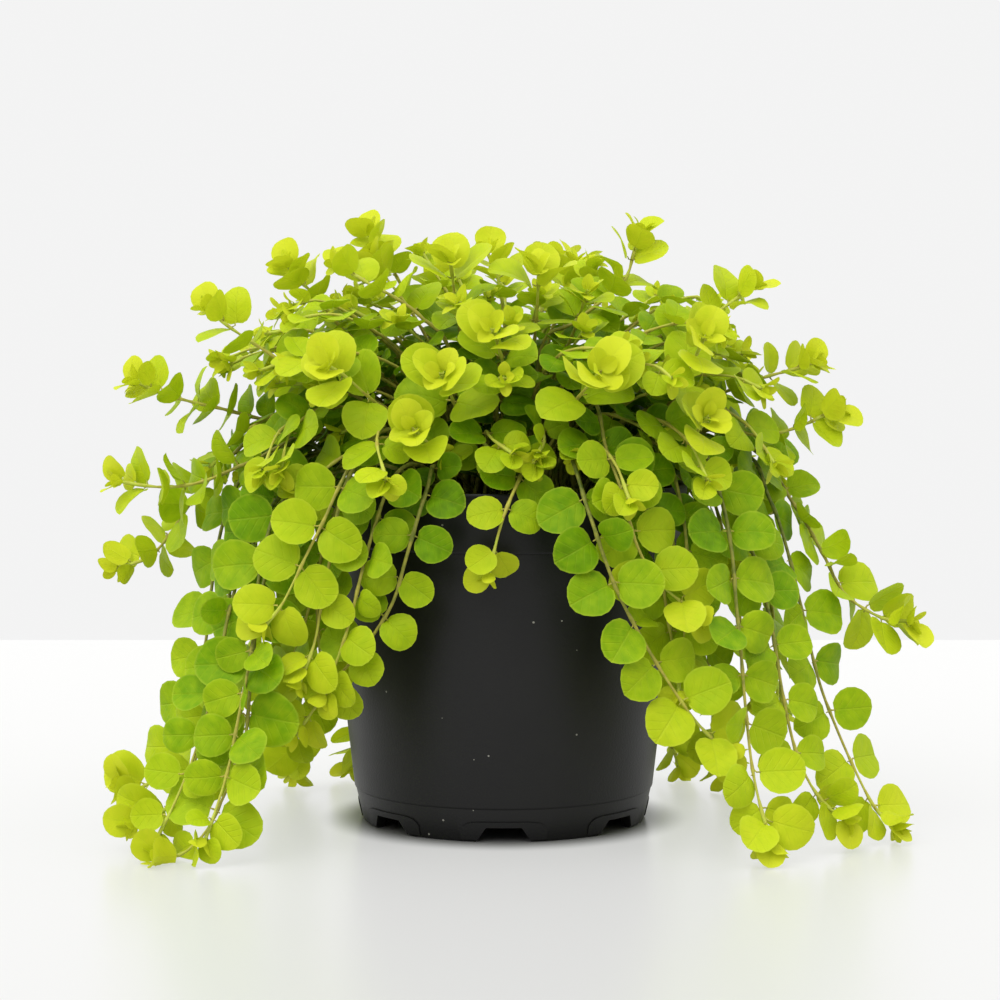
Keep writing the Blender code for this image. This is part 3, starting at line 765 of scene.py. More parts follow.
    def build(self) -> bpy.types.Object:
        """Models and dresses the pot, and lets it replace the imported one.

        Returns:
            The pot.
        """
        pot = turned_form("nursery_pot", self.profile(), self.sides)
        cut(pot, [self.collar(index) for index in range(self.notches)], "UNION")
        cut(pot, [self.wedge(index) for index in range(self.notches)] + self.drains(), "DIFFERENCE")
        self.finish.dress(pot)
        return finished(pot, Slot.POT, ["pot"], 32)


@dataclass
class RootBall:
    """The soil in the pot: a root ball with a crumbly top. Sizes in mm.

    lumps are the top's unevenness: how far it rises and how fine it is, in steps a metre.
    A crumb's sizes, bumps, widths and heights are shares that each draws between.
    """

    foot: float = 7.1
    centre: float = 8.0
    foot_radius: float = 46.2
    step: float = 92.0
    top_radius: float = 56.4
    top: float = 98.8
    crown: float = 1.6
    lumps: tuple[tuple[float, float], ...] = ((1.3, 190.0), (0.6, 600.0))
    rings: int = 14
    sides: int = 64
    crumbs: int = 170
    crumb: float = 1.9
    crumb_sizes: tuple[float, float] = (0.45, 1.0)
    crumb_bumps: tuple[float, float] = (0.75, 1.15)
    crumb_widths: tuple[float, float] = (0.5, 0.9)
    crumb_heights: tuple[float, float] = (0.4, 0.8)
    crumb_lift: float = 0.8
    bare_edge: float = 3.0
    finish: MoistPeat = field(default_factory=MoistPeat)

    def crumb_on(self, draw: random.Random) -> bpy.types.Object:
        """Models one crumb of bark or peat on the soil.

        Args:
            draw: The source of its place, size and turn.

        Returns:
            The crumb.
        """
        deselect_all()
        bpy.ops.mesh.primitive_ico_sphere_add(subdivisions=1, radius=MM)
        crumb = bpy.context.object
        size = self.crumb * draw.uniform(*self.crumb_sizes)
        for corner in crumb.data.vertices:
            corner.co *= size * draw.uniform(*self.crumb_bumps)
        squash = (1.0, draw.uniform(*self.crumb_widths), draw.uniform(*self.crumb_heights), 1.0)
        turn = Matrix.Rotation(draw.uniform(0, math.tau), 4, "Z")
        angle = draw.uniform(0, math.tau)
        far = (self.top_radius - self.bare_edge) * math.sqrt(draw.random())
        place = Vector((far * math.cos(angle), far * math.sin(angle), self.top + self.crumb_lift)) * MM
        crumb.data.transform(Matrix.Translation(place) @ turn @ Matrix.Diagonal(squash))
        return crumb

    def build(self) -> bpy.types.Object:
        """Models and dresses the soil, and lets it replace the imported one.

        Returns:
            The soil.
        """
        profile = [(self.centre, self.foot), (self.foot_radius, self.foot)]
        profile += [(self.top_radius, self.step), (self.top_radius, self.top)]
        for ring in range(1, self.rings):
            share = 1 - ring / self.rings
            profile.append((self.top_radius * share, self.top + self.crown * (1 - share**2)))
        soil = turned_form("root_ball", profile, self.sides)
        for corner in soil.data.vertices:
            if corner.co.z > (self.top - 0.1) * MM and corner.co.xy.length < (self.top_radius - 0.5) * MM:
                corner.co.z += sum(rise * MM * noise.noise(corner.co * fine) for rise, fine in self.lumps)
        draw = random.Random(f"{SEED} crumbs")
        soil = joined("root_ball", [soil] + [self.crumb_on(draw) for _ in range(self.crumbs)])
        self.finish.dress(soil)
        return finished(soil, Slot.SOIL, ["soil"], 50)


# How the plant grows


@dataclass(frozen=True)
class Viewpoint:
    """Where the photograph was taken from: mm, degrees, and pixels of its 1000 x 1000 frame."""

    place: tuple[float, float, float] = (-1.2, -900.0, 165.2)
    pitch: float = 3.85
    focal: float = 2750.0
    frame: float = 1000.0

    def seen(self, across: float, down: float, depth: float) -> np.ndarray:
        """Finds what a pixel shows at a depth.

        Args:
            across: Pixels from the frame's left.
            down: Pixels from its top.
            depth: How far behind the pot's axis, in mm.

        Returns:
            The point in mm.
        """
        pitch = math.radians(self.pitch)
        right = (across - self.frame / 2) / self.focal
        up = (self.frame / 2 - down) / self.focal
        reach = (depth - self.place[1]) / (math.cos(pitch) + up * math.sin(pitch))
        height = self.place[2] + reach * (up * math.cos(pitch) - math.sin(pitch))
        return np.array((self.place[0] + reach * right, depth, height))


@dataclass(frozen=True)
class Route:
    """A stem that shows in the photograph, from the soil to the tip.

    Each point is (across, down, depth): two pixels and the depth in mm behind the pot's
    axis. leaf is a leaf's radius, spacing the way from pair to pair, and facing how far
    the leaves turn to the viewer.
    """

    name: str
    points: tuple[tuple[float, float, float], ...]
    leaf: float
    spacing: float
    pairs: int
    facing: float

    def traced(self, view: Viewpoint, shift: float) -> list[np.ndarray]:
        """Its points in mm, shifted this far in depth."""
        return [view.seen(across, down, depth + shift) for across, down, depth in self.points]


@dataclass(frozen=True)
class Sweep:
    """Stems of one habit that the photograph doesn't show, spread over a stretch of the circle.

    The profile is (radius, height) from just above the soil to the tip, and azimuths
    are degrees from +X towards +Y. wide stretches it from side to side. A try turns at
    most SWAY degrees, bends DRIFT on the way to its tip, and is longer or shorter by
    STRETCH; above LIFTED_FROM it rises or sinks, by LIFT at LIFT_REACH over that.
    """

    SWAY = 9
    DRIFT = 14
    STRETCH = (0.94, 1.05)
    LIFT = 6
    LIFTED_FROM = 40
    LIFT_REACH = 90

    name: str
    count: int
    first: float
    last: float
    profile: tuple[tuple[float, float], ...]
    leaf: float
    spacing: float
    pairs: int
    wide: float = 1.0
    facing: float = 0.0

    def drawn(self, middle: float, draw: random.Random) -> list[np.ndarray]:
        """Draws one try at a stem.

        Args:
            middle: Its azimuth in degrees.
            draw: The source of its draws.

        Returns:
            The profile, stretched and turned a little.
        """
        azimuth = math.radians(middle + draw.uniform(-self.SWAY, self.SWAY))
        drift = math.radians(draw.uniform(-self.DRIFT, self.DRIFT))
        stretch = draw.uniform(*self.STRETCH)
        lift = draw.uniform(-self.LIFT, self.LIFT)
        points = []
        for index, (radius, height) in enumerate(self.profile):
            share = index / (len(self.profile) - 1)
            angle = azimuth + drift * share**2
            far = radius * (1 + (stretch - 1) * share)
            rise = height + lift * max(0, height - self.LIFTED_FROM) / self.LIFT_REACH
            points.append(np.array((far * math.cos(angle) * self.wide, far * math.sin(angle), rise)))
        return points

    def shoots(self, tries: int) -> Iterator[tuple[str, Iterator[list[np.ndarray]]]]:
        """Draws its stems.

        Args:
            tries: How many tries each stem gets.

        Yields:
            Each stem's name and its tries.
        """
        for index in range(self.count):
            draw = random.Random(f"{SEED} {self.name} {index}")
            middle = self.first + (self.last - self.first) * (index + 0.5) / self.count
            yield f"{self.name}_{index + 1}", (self.drawn(middle, draw) for _ in range(tries))


SEEN_STEMS = (
    Route("trail_front_left", (
        (437, 466, -50), (428, 486, -63), (417, 521, -68), (405, 562, -68), (393, 602, -67),
        (369, 641, -65), (343, 671, -63), (317, 705, -60), (296, 735, -58)), 6.2, 13.4, 7, 0.8),
    Route("trail_front_middle", (
        (526, 462, -48), (519, 480, -62), (509, 502, -68), (500, 528, -69), (493, 556, -69),
        (489, 573, -69)), 6.0, 13.2, 4, 0.8),
    Route("trail_front_right", (
        (592, 405, -44), (606, 448, -58), (622, 492, -67), (635, 540, -69), (652, 574, -69),
        (675, 597, -68), (698, 612, -67)), 7.2, 12.8, 5, 0.75),
    Route("trail_right_inner", (
        (566, 452, -54), (588, 510, -72), (603, 554, -75), (618, 593, -75), (639, 633, -74),
        (662, 672, -73), (691, 715, -72), (714, 740, -71), (730, 748, -70)), 7.6, 14.0, 7, 0.8),
    Route("trail_right_long", (
        (690, 448, -34), (718, 490, -48), (731, 546, -57), (736, 602, -62), (741, 653, -66),
        (745, 702, -70), (752, 766, -75), (762, 812, -79), (774, 846, -82)), 7.2, 15.0, 8, 0.85),
    Route("trail_right_outer", (
        (735, 452, -12), (770, 500, -20), (790, 560, -27), (804, 620, -32), (819, 681, -36),
        (834, 722, -38), (854, 768, -41), (875, 808, -44), (894, 826, -46)), 7.2, 16.5, 7, 0.55),
    Route("trail_right_low", (
        (712, 470, -40), (748, 540, -49), (770, 620, -54), (782, 690, -57), (794, 745, -59),
        (808, 780, -61), (826, 805, -62), (846, 819, -63)), 6.4, 17.0, 4, 0.5),
    Route("arm_right", (
        (742, 446, 2), (793, 503, -7), (824, 556, -14), (845, 594, -18), (882, 618, -22),
        (909, 621, -25)), 7.6, 18.0, 4, 0.5),
    Route("arm_left", (
        (352, 392, -4), (298, 413, 0), (253, 437, 3), (227, 461, 6), (202, 486, 8),
        (180, 519, 10), (152, 555, 12), (117, 568, 15)), 6.8, 19.0, 5, 0.35),
    Route("arm_left_upper", (
        (330, 432, -22), (250, 462, -26), (205, 481, -27), (170, 487, -28), (140, 485, -28),
        (119, 481, -28)), 6.2, 18.0, 4, 0.3),
    Route("spray_left", (
        (305, 425, 6), (262, 419, 4), (219, 408, 2), (192, 402, 1), (155, 391, 0),
        (136, 381, 0)), 6.2, 18.0, 4, 0.3),
    Route("spray_upper_left", (
        (372, 408, -34), (325, 389, -36), (298, 372, -36), (270, 354, -36), (247, 339, -36),
        (224, 323, -35), (209, 309, -35)), 6.8, 20.0, 3, 0.3),
    Route("tip_upper_left", (
        (392, 372, 6), (345, 332, 4), (318, 298, 2), (304, 285, 1), (286, 264, 0)), 6.4, 18.0, 3, 0.3),
    Route("tip_high_left", (
        (452, 360, -24), (420, 316, -24), (392, 296, -22), (366, 282, -20), (340, 266, -18)),
        6.8, 19.0, 3, 0.3),
    Route("tip_top_left", (
        (440, 352, 14), (405, 292, 16), (383, 252, 16), (367, 233, 16)), 6.8, 20.0, 3, 0.25),
    Route("trail_left_outer", (
        (318, 448, -14), (250, 470, -18), (224, 520, -20), (212, 585, -23), (206, 640, -26),
        (195, 697, -30), (182, 733, -33), (165, 769, -36), (138, 789, -38), (122, 782, -39)),
        7.0, 15.5, 7, 0.6),
    Route("trail_left_low", (
        (350, 470, -42), (285, 500, -52), (262, 560, -58), (256, 625, -62), (250, 690, -66),
        (243, 750, -70), (222, 800, -73), (207, 830, -75), (184, 853, -78), (160, 858, -80)),
        8.2, 15.5, 8, 0.85),
    Route("trail_left_back", (
        (300, 440, -28), (242, 510, -36), (230, 590, -42), (222, 660, -47), (206, 725, -52),
        (186, 782, -57), (160, 814, -61), (134, 825, -64)), 6.8, 17.0, 5, 0.5),
    Route("trail_left_bright", (
        (398, 432, -50), (362, 448, -60), (340, 485, -65), (325, 518, -67), (307, 554, -68),
        (284, 601, -69), (266, 625, -69)), 7.4, 13.5, 5, 0.8),
    Route("trail_left_inner", (
        (372, 462, -46), (342, 498, -55), (330, 560, -59), (322, 602, -60), (314, 645, -61),
        (300, 682, -62)), 6.4, 17.0, 3, 0.6),
    Route("tip_top_right", (
        (540, 352, -20), (572, 324, -18), (602, 301, -16), (625, 280, -14), (634, 252, -12),
        (640, 233, -12)), 6.6, 19.0, 3, 0.25),
    Route("tip_top_middle", (
        (505, 340, -6), (503, 310, -6), (498, 278, -6), (487, 252, -6)), 6.8, 18.0, 3, 0.3),
    Route("rosette_middle", (
        (508, 395, -30), (504, 368, -42), (498, 345, -52), (493, 330, -60)), 7.0, 10.5, 3, 0.5),
    Route("rosette_left", (
        (462, 425, -38), (452, 398, -52), (442, 374, -66)), 8.4, 11.5, 3, 0.5),
    Route("rosette_right", (
        (560, 425, -36), (578, 398, -50), (600, 372, -66)), 8.8, 11.5, 3, 0.45),
    Route("rosette_low_left", (
        (448, 462, -46), (432, 446, -58), (414, 430, -70)), 7.4, 12.0, 3, 0.55),
    Route("front_left_big", (
        (398, 420, -40), (372, 400, -52), (345, 376, -62), (328, 366, -66)), 8.0, 13.0, 3, 0.55),
    Route("tip_top_back", (
        (548, 352, 14), (562, 312, 18), (570, 284, 20), (576, 262, 20)), 6.8, 18.0, 3, 0.25),
    Route("tip_right_high", (
        (628, 384, -26), (665, 362, -26), (689, 343, -25), (709, 318, -23), (732, 302, -21),
        (752, 286, -20)), 6.8, 19.0, 3, 0.3),
    Route("rosette_right_high", (
        (668, 408, -32), (688, 372, -44), (704, 338, -54)), 7.8, 12.0, 3, 0.45),
    Route("spray_right", (
        (672, 412, -2), (725, 392, -6), (762, 378, -8), (795, 369, -9), (814, 362, -10)),
        6.4, 18.0, 3, 0.3),
    Route("spray_right_low", (
        (700, 432, -14), (762, 436, -14), (803, 425, -12), (822, 416, -12), (837, 410, -12)),
        6.4, 18.0, 3, 0.35),
    Route("rosette_right_low", (
        (672, 462, -34), (690, 440, -46), (708, 418, -58)), 7.2, 12.0, 3, 0.5),
)

HIDDEN_STEMS = (
    Sweep("back_trail", 6, 16, 164, (
        (48, 128), (67, 124), (77, 96), (80, 60), (83, 28), (89, 5)), 7.6, 32.0, 5),
    Sweep("back_shoulder", 7, 8, 172, (
        (38, 130), (60, 140), (74, 136), (83, 122)), 7.6, 18.0, 4),
    Sweep("crown", 5, 28, 332, (
        (16, 132), (28, 158), (44, 178)), 7.8, 13.5, 3),
)

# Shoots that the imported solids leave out, to close the mound and its curtain.
FILLING_SHOOTS = (
    Sweep("mound_skirt", 24, -70, 250, ((36, 124), (56, 132), (72, 126), (82, 114)), 6.6, 10.5, 7, 1.12),
    Sweep("mound_middle", 24, -100, 260, ((28, 128), (48, 146), (66, 148)), 5.9, 9.5, 7, 1.14),
    Sweep("mound_high", 18, -95, 265, ((16, 132), (30, 156), (46, 168)), 5.6, 9.0, 7, 1.16),
    Sweep("mound_top", 10, -80, 280, ((8, 132), (14, 160), (24, 178)), 5.3, 8.5, 8, 1.25),
    Sweep("shoulder_left", 7, 128, 232, ((30, 130), (54, 146), (76, 150), (88, 146)), 6.4, 11.0, 7),
    Sweep("shoulder_right", 7, -52, 52, ((30, 130), (54, 144), (74, 146), (84, 142)), 6.4, 11.0, 7),
    Sweep("high_left", 5, 136, 224, ((24, 134), (44, 156), (62, 166), (74, 165)), 5.7, 9.5, 8),
    Sweep("high_right", 5, -44, 44, ((24, 134), (44, 156), (62, 164), (72, 162)), 5.7, 9.5, 8),
    Sweep("mound_inside", 24, -100, 260, ((26, 120), (42, 128), (56, 122)), 7.2, 11.0, 5),
    Sweep("front_lip", 7, -126, -54, ((34, 121), (48, 129), (59, 127), (64, 123)), 6.2, 10.0, 4),
    Sweep("rim_drop_left", 6, 146, 212, ((46, 120), (64, 118), (76, 100), (80, 80)), 7.0, 13.0, 6, 1.05),
    Sweep("rim_drop_right", 6, -34, 34, ((46, 120), (64, 118), (76, 100), (80, 80)), 7.0, 13.0, 6, 1.05),
    Sweep("curtain_left", 5, 150, 208, ((50, 124), (72, 118), (84, 92), (90, 62), (93, 34)), 7.2, 14.0, 8),
    Sweep("curtain_right", 5, -32, 26, ((50, 124), (72, 118), (84, 92), (90, 62), (93, 34)), 7.2, 14.0, 8),
    Sweep("curtain_back", 9, 34, 146, ((48, 124), (64, 118), (73, 92), (77, 60), (80, 34)), 7.2, 14.0, 8),
    Sweep("fore_left", 4, 206, 238, ((50, 122), (66, 120), (76, 98), (80, 72), (83, 50)), 6.8, 12.5, 7),
    Sweep("fore_right", 4, -56, -22, ((50, 122), (66, 120), (76, 98), (80, 72), (83, 50)), 6.8, 12.5, 7),
)

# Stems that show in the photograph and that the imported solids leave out.
FILLING_ROUTES = (
    Route("trail_low_left", (
        (340, 470, -44), (284, 520, -58), (262, 590, -68), (250, 660, -74), (238, 720, -79), (228, 770, -83),
        (214, 815, -87), (205, 840, -90)), 6.6, 13.0, 9, 0.85),
    Route("trail_low_left_outer", (
        (330, 460, -34), (262, 520, -48), (232, 600, -58), (216, 680, -64), (196, 750, -68), (176, 800, -71),
        (158, 836, -74)), 6.2, 13.0, 8, 0.85),
)


@dataclass(frozen=True)
class Care:
    """How far a new leaf keeps clear, in mm, and how it is tried.

    gap is over or under another leaf, edge beside one, stem from other stems, and table
    over the table; below 0, it may bend that far on it. stray is how fast later tries
    stray from the first one.
    """

    gap: float
    edge: float
    stem: float
    table: float
    tries: int
    stray: int


PACKED_CARE = Care(gap=2.0, edge=1.2, stem=2.5, table=1.2, tries=26, stray=1)
FILLING_CARE = Care(gap=1.2, edge=0.3, stem=1.3, table=-3.0, tries=14, stray=2)


@dataclass(frozen=True)
class Pair:
    """Where a pair of leaves grows on its stem.

    back is mm from the tip, share of the full size, lean towards the tip and roll round
    the stem in degrees.
    """

    back: float
    share: float
    lean: float
    roll: float = 0.0


# What closes a stem's tip: its folded leaves, and more pairs where it lies on the table.
YOUNG_PAIRS = (Pair(0.9, 0.46, 36.0, 90.0), Pair(0.1, 0.34, 56.0, 8.0))
LYING_PAIRS = (Pair(5.5, 0.8, 30.0), Pair(12.0, 0.9, 24.0, 24.0))


@dataclass
class Seat:
    """Where a leaf grows: its root, its way out, its upper side, its radius, and its youth less any painted
    shade.
    """

    root: np.ndarray
    along: np.ndarray
    face: np.ndarray
    radius: float
    youth: float = 0.5

    def centre(self) -> np.ndarray:
        """The middle of the blade."""
        return self.root + self.along * (Habit.petiole + Habit.blade_middle * self.radius)


@dataclass
class Stem:
    """A stem's line in mm, from its foot in the soil to its tip, and how its leaves grow.

    curve is the smooth curve that the line was thinned from, lift how much its leaves
    turn up to the light, and prime how young its tip is.
    """

    name: str
    habit: Route | Sweep
    line: np.ndarray
    curve: np.ndarray
    facing: float
    lift: float = 1.5
    prime: float = 1.0
    seats: list[Seat] = field(default_factory=list)

    def light_on(self, place: np.ndarray) -> np.ndarray:
        """Finds the way that a leaf turns its upper side.

        Args:
            place: Where the leaf grows.

        Returns:
            The direction, at length 1.
        """
        lift = self.lift * (place[2] - min(0.9 * place[2], Habit.light_height))
        out = unit(np.array((place[0], place[1], lift + Habit.light_base)))
        return unit(out * (1 - Habit.facing_share * self.facing) + Habit.to_viewer * self.facing)

    def pairs(self) -> list[Pair]:
        """Places the stem's own pairs.

        Returns:
            The pairs, from the tip down.
        """
        spacing = self.habit.spacing
        back = Habit.tip_pair.back + Habit.next_pair_spacing * spacing
        pairs = [Habit.tip_pair, replace(Habit.next_pair, back=back)]
        while len(pairs) < self.habit.pairs:
            pairs.append(replace(Habit.full_pair, back=pairs[-1].back + spacing))
        return pairs

    def cross_pair(self) -> Pair:
        """The pair between its two youngest ones, which stands across them."""
        first, second = self.pairs()[:2]
        return replace(Filling.cross_pair, back=(first.back + second.back) / 2)

    def bare_pairs(self) -> list[Pair]:
        """Places pairs where the stem is bare.

        Returns:
            Those between its widely spaced pairs, then those from its last pair back to the soil.
        """
        pairs = self.pairs()
        end = length_of(self.line) - Filling.bare_foot
        found = []
        spacing = self.habit.spacing
        if spacing > Filling.wide_spacing:
            spacing /= 3
            for pair in pairs[2:]:
                for steps, share, roll in Filling.between:
                    found.append(Pair(pair.back - steps * spacing, share, pair.lean, roll))
        back = pairs[-1].back + spacing
        while back < end and len(found) < Filling.most_bare_pairs:
            found.append(replace(Habit.full_pair, back=back))
            back += spacing
        return found


class Habit:
    """The sizes of the plant's growth in mm and degrees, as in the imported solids."""

    rim_height = 110.5
    rim_radius = 60.1
    soil_top = 99.0
    stem_radius = 1.15
    stem_foot = 88.9
    stem_straight = 105.0
    stem_apart = 3.5
    curve_step = 3.0
    line_step = 1.5
    bend_error = 1.35
    stem_spots = 60
    spot_circle = 43.0
    stem_to_pot = 2.0
    stem_in_rim = 4.5
    stem_over_table = 1.65
    petiole = 1.8
    blade_middle = 0.94
    blade_to_pot = 1.5
    light_height = 100.0
    light_base = 4.0
    to_viewer = np.array((0, -0.9, 0.25))
    facing_share = 0.45
    young_growth = 0.9
    tip_pair = Pair(1.6, 0.62, 50.0)
    next_pair = Pair(0.0, 0.9, 34.0)
    full_pair = Pair(0.0, 1.0, 16.0)
    next_pair_spacing = 0.42
    depth_shift = 2.0
    depth_shifts = 7
    sweep_tries = 60
    ages = ((1.6, 7, 18, 32, 46, 60, 76), (1.0, 0.84, 0.68, 0.57, 0.49, 0.43, 0.37))
    # From here, three sizes paint shade: leaves near the mound's middle are coloured older and darker green.
    heart = np.array((0.0, 0.0, 118.0))
    heart_size = np.array((88.0, 80.0, 60.0))
    heart_painted_shade = 0.62
    seat_roll = 18
    seat_pitch = 12
    seat_tilt = 16
    seat_size = (0.93, 1.05)


class Filling:
    """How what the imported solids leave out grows, in mm and degrees.

    Where a stem's pairs stand further apart than wide_spacing, each gap takes the two
    between: how many thirds of it they are from the next pair, their share of the full
    size and their roll round the stem.
    """

    spots = 300
    apart = 1.9
    tries = 12
    shifts = (0, -3, 3, -6, 6, -9, 9)
    lying = 12.0
    facing = 0.14
    lift = 2.3
    prime = 0.82
    cross_pair = Pair(0.0, 0.8, 40.0, 82.0)
    wide_spacing = 17.5
    between = ((2, 0.92, 48.0), (1, 0.96, -42.0))
    bare_foot = 17.0
    most_bare_pairs = 16
    young_roll = 12
    young_lean = 8
    young_size = (0.88, 1.1)
    young_tilt = 14


def unit(vector: np.ndarray) -> np.ndarray:
    """The vector at length 1."""
    return vector / np.linalg.norm(vector)


def turned(vector: np.ndarray, axis: np.ndarray, degrees: float) -> np.ndarray:
    """Turns a vector about an axis.

    Args:
        vector: The vector.
        axis: The axis, at length 1.
        degrees: How far it turns.

    Returns:
        The turned vector.
    """
    angle = math.radians(degrees)
    return (
        vector * math.cos(angle)
        + np.cross(axis, vector) * math.sin(angle)
        + axis * np.dot(axis, vector) * (1 - math.cos(angle))
    )


def smooth_line(points: Sequence[np.ndarray], step: float) -> np.ndarray:
    """Runs a smooth curve through points.

    Args:
        points: The points, in order.
        step: The way from one point of the result to the next.

    Returns:
        Evenly spaced points along the curve, one a row.
    """
    ends = [2 * points[0] - points[1], *points, 2 * points[-1] - points[-2]]
    share = np.linspace(0, 1, 12, endpoint=False)[:, None]
    fine = []
    for a, b, c, d in zip(ends, ends[1:], ends[2:], ends[3:]):
        bend = (2 * a - 5 * b + 4 * c - d) * share**2 + (3 * b - a - 3 * c + d) * share**3
        fine.append(0.5 * (2 * b + (c - a) * share + bend))
    fine = np.vstack([*fine, points[-1]])
    reach = np.append(0, np.cumsum(np.linalg.norm(np.diff(fine, axis=0), axis=1)))
    count = max(2, round(reach[-1] / step))
    wanted = np.linspace(0, reach[-1], count + 1)
    return np.column_stack([np.interp(wanted, reach, fine[:, axis]) for axis in range(3)])


def thinned(line: np.ndarray, error: float) -> np.ndarray:
    """Keeps the points of a line that hold its shape.

    Args:
        line: The line's points, one a row.
        error: How far the thinned line may stray from it.

    Returns:
        The points kept.
    """
    if len(line) < 3:
        return line
    way = unit(line[-1] - line[0])
    offset = line - line[0]
    off = np.linalg.norm(offset - np.outer(offset @ way, way), axis=1)
    worst = int(off.argmax())
    if off[worst] < error:
        return line[[0, -1]]
    return np.vstack([thinned(line[: worst + 1], error), thinned(line[worst:], error)[1:]])


def dense(line: np.ndarray) -> np.ndarray:
    """Puts close points all along a line.

    Args:
        line: The line's points, one a row.

    Returns:
        The close points, to measure gaps from.
    """
    parts = []
    for start, end in zip(line, line[1:]):
        count = math.ceil(np.linalg.norm(end - start) / Habit.line_step)
        parts.append(np.linspace(start, end, count + 1))
    return np.vstack(parts)


def point_at(line: np.ndarray, distance: float) -> tuple[np.ndarray, np.ndarray]:
    """Finds a place on a line.

    Args:
        line: The line's points, one a row.
        distance: How far back from its tip.

    Returns:
        The point there, and the line's direction.
    """
    steps = np.linalg.norm(np.diff(line, axis=0), axis=1)
    for index in range(len(steps) - 1, -1, -1):
        if distance <= steps[index] or index == 0:
            break
        distance -= steps[index]
    way = (line[index + 1] - line[index]) / steps[index]
    return line[index + 1] - way * distance, way


def length_of(line: np.ndarray) -> float:
    """The length of a line of points."""
    return float(np.linalg.norm(np.diff(line, axis=0), axis=1).sum())


def off_disc(offset: np.ndarray, face: np.ndarray) -> tuple[np.ndarray, np.ndarray]:
    """Measures points against a leaf's disc, or against many discs one by one.

    Args:
        offset: The points, from the disc's middle.
        face: The disc's upper side.

    Returns:
        How far they are over or under it, and how far out from its axis.
    """
    rise = offset @ face if face.ndim == 1 else (offset * face).sum(axis=-1)
    return abs(rise), np.sqrt(np.maximum((offset**2).sum(axis=-1) - rise**2, 0))


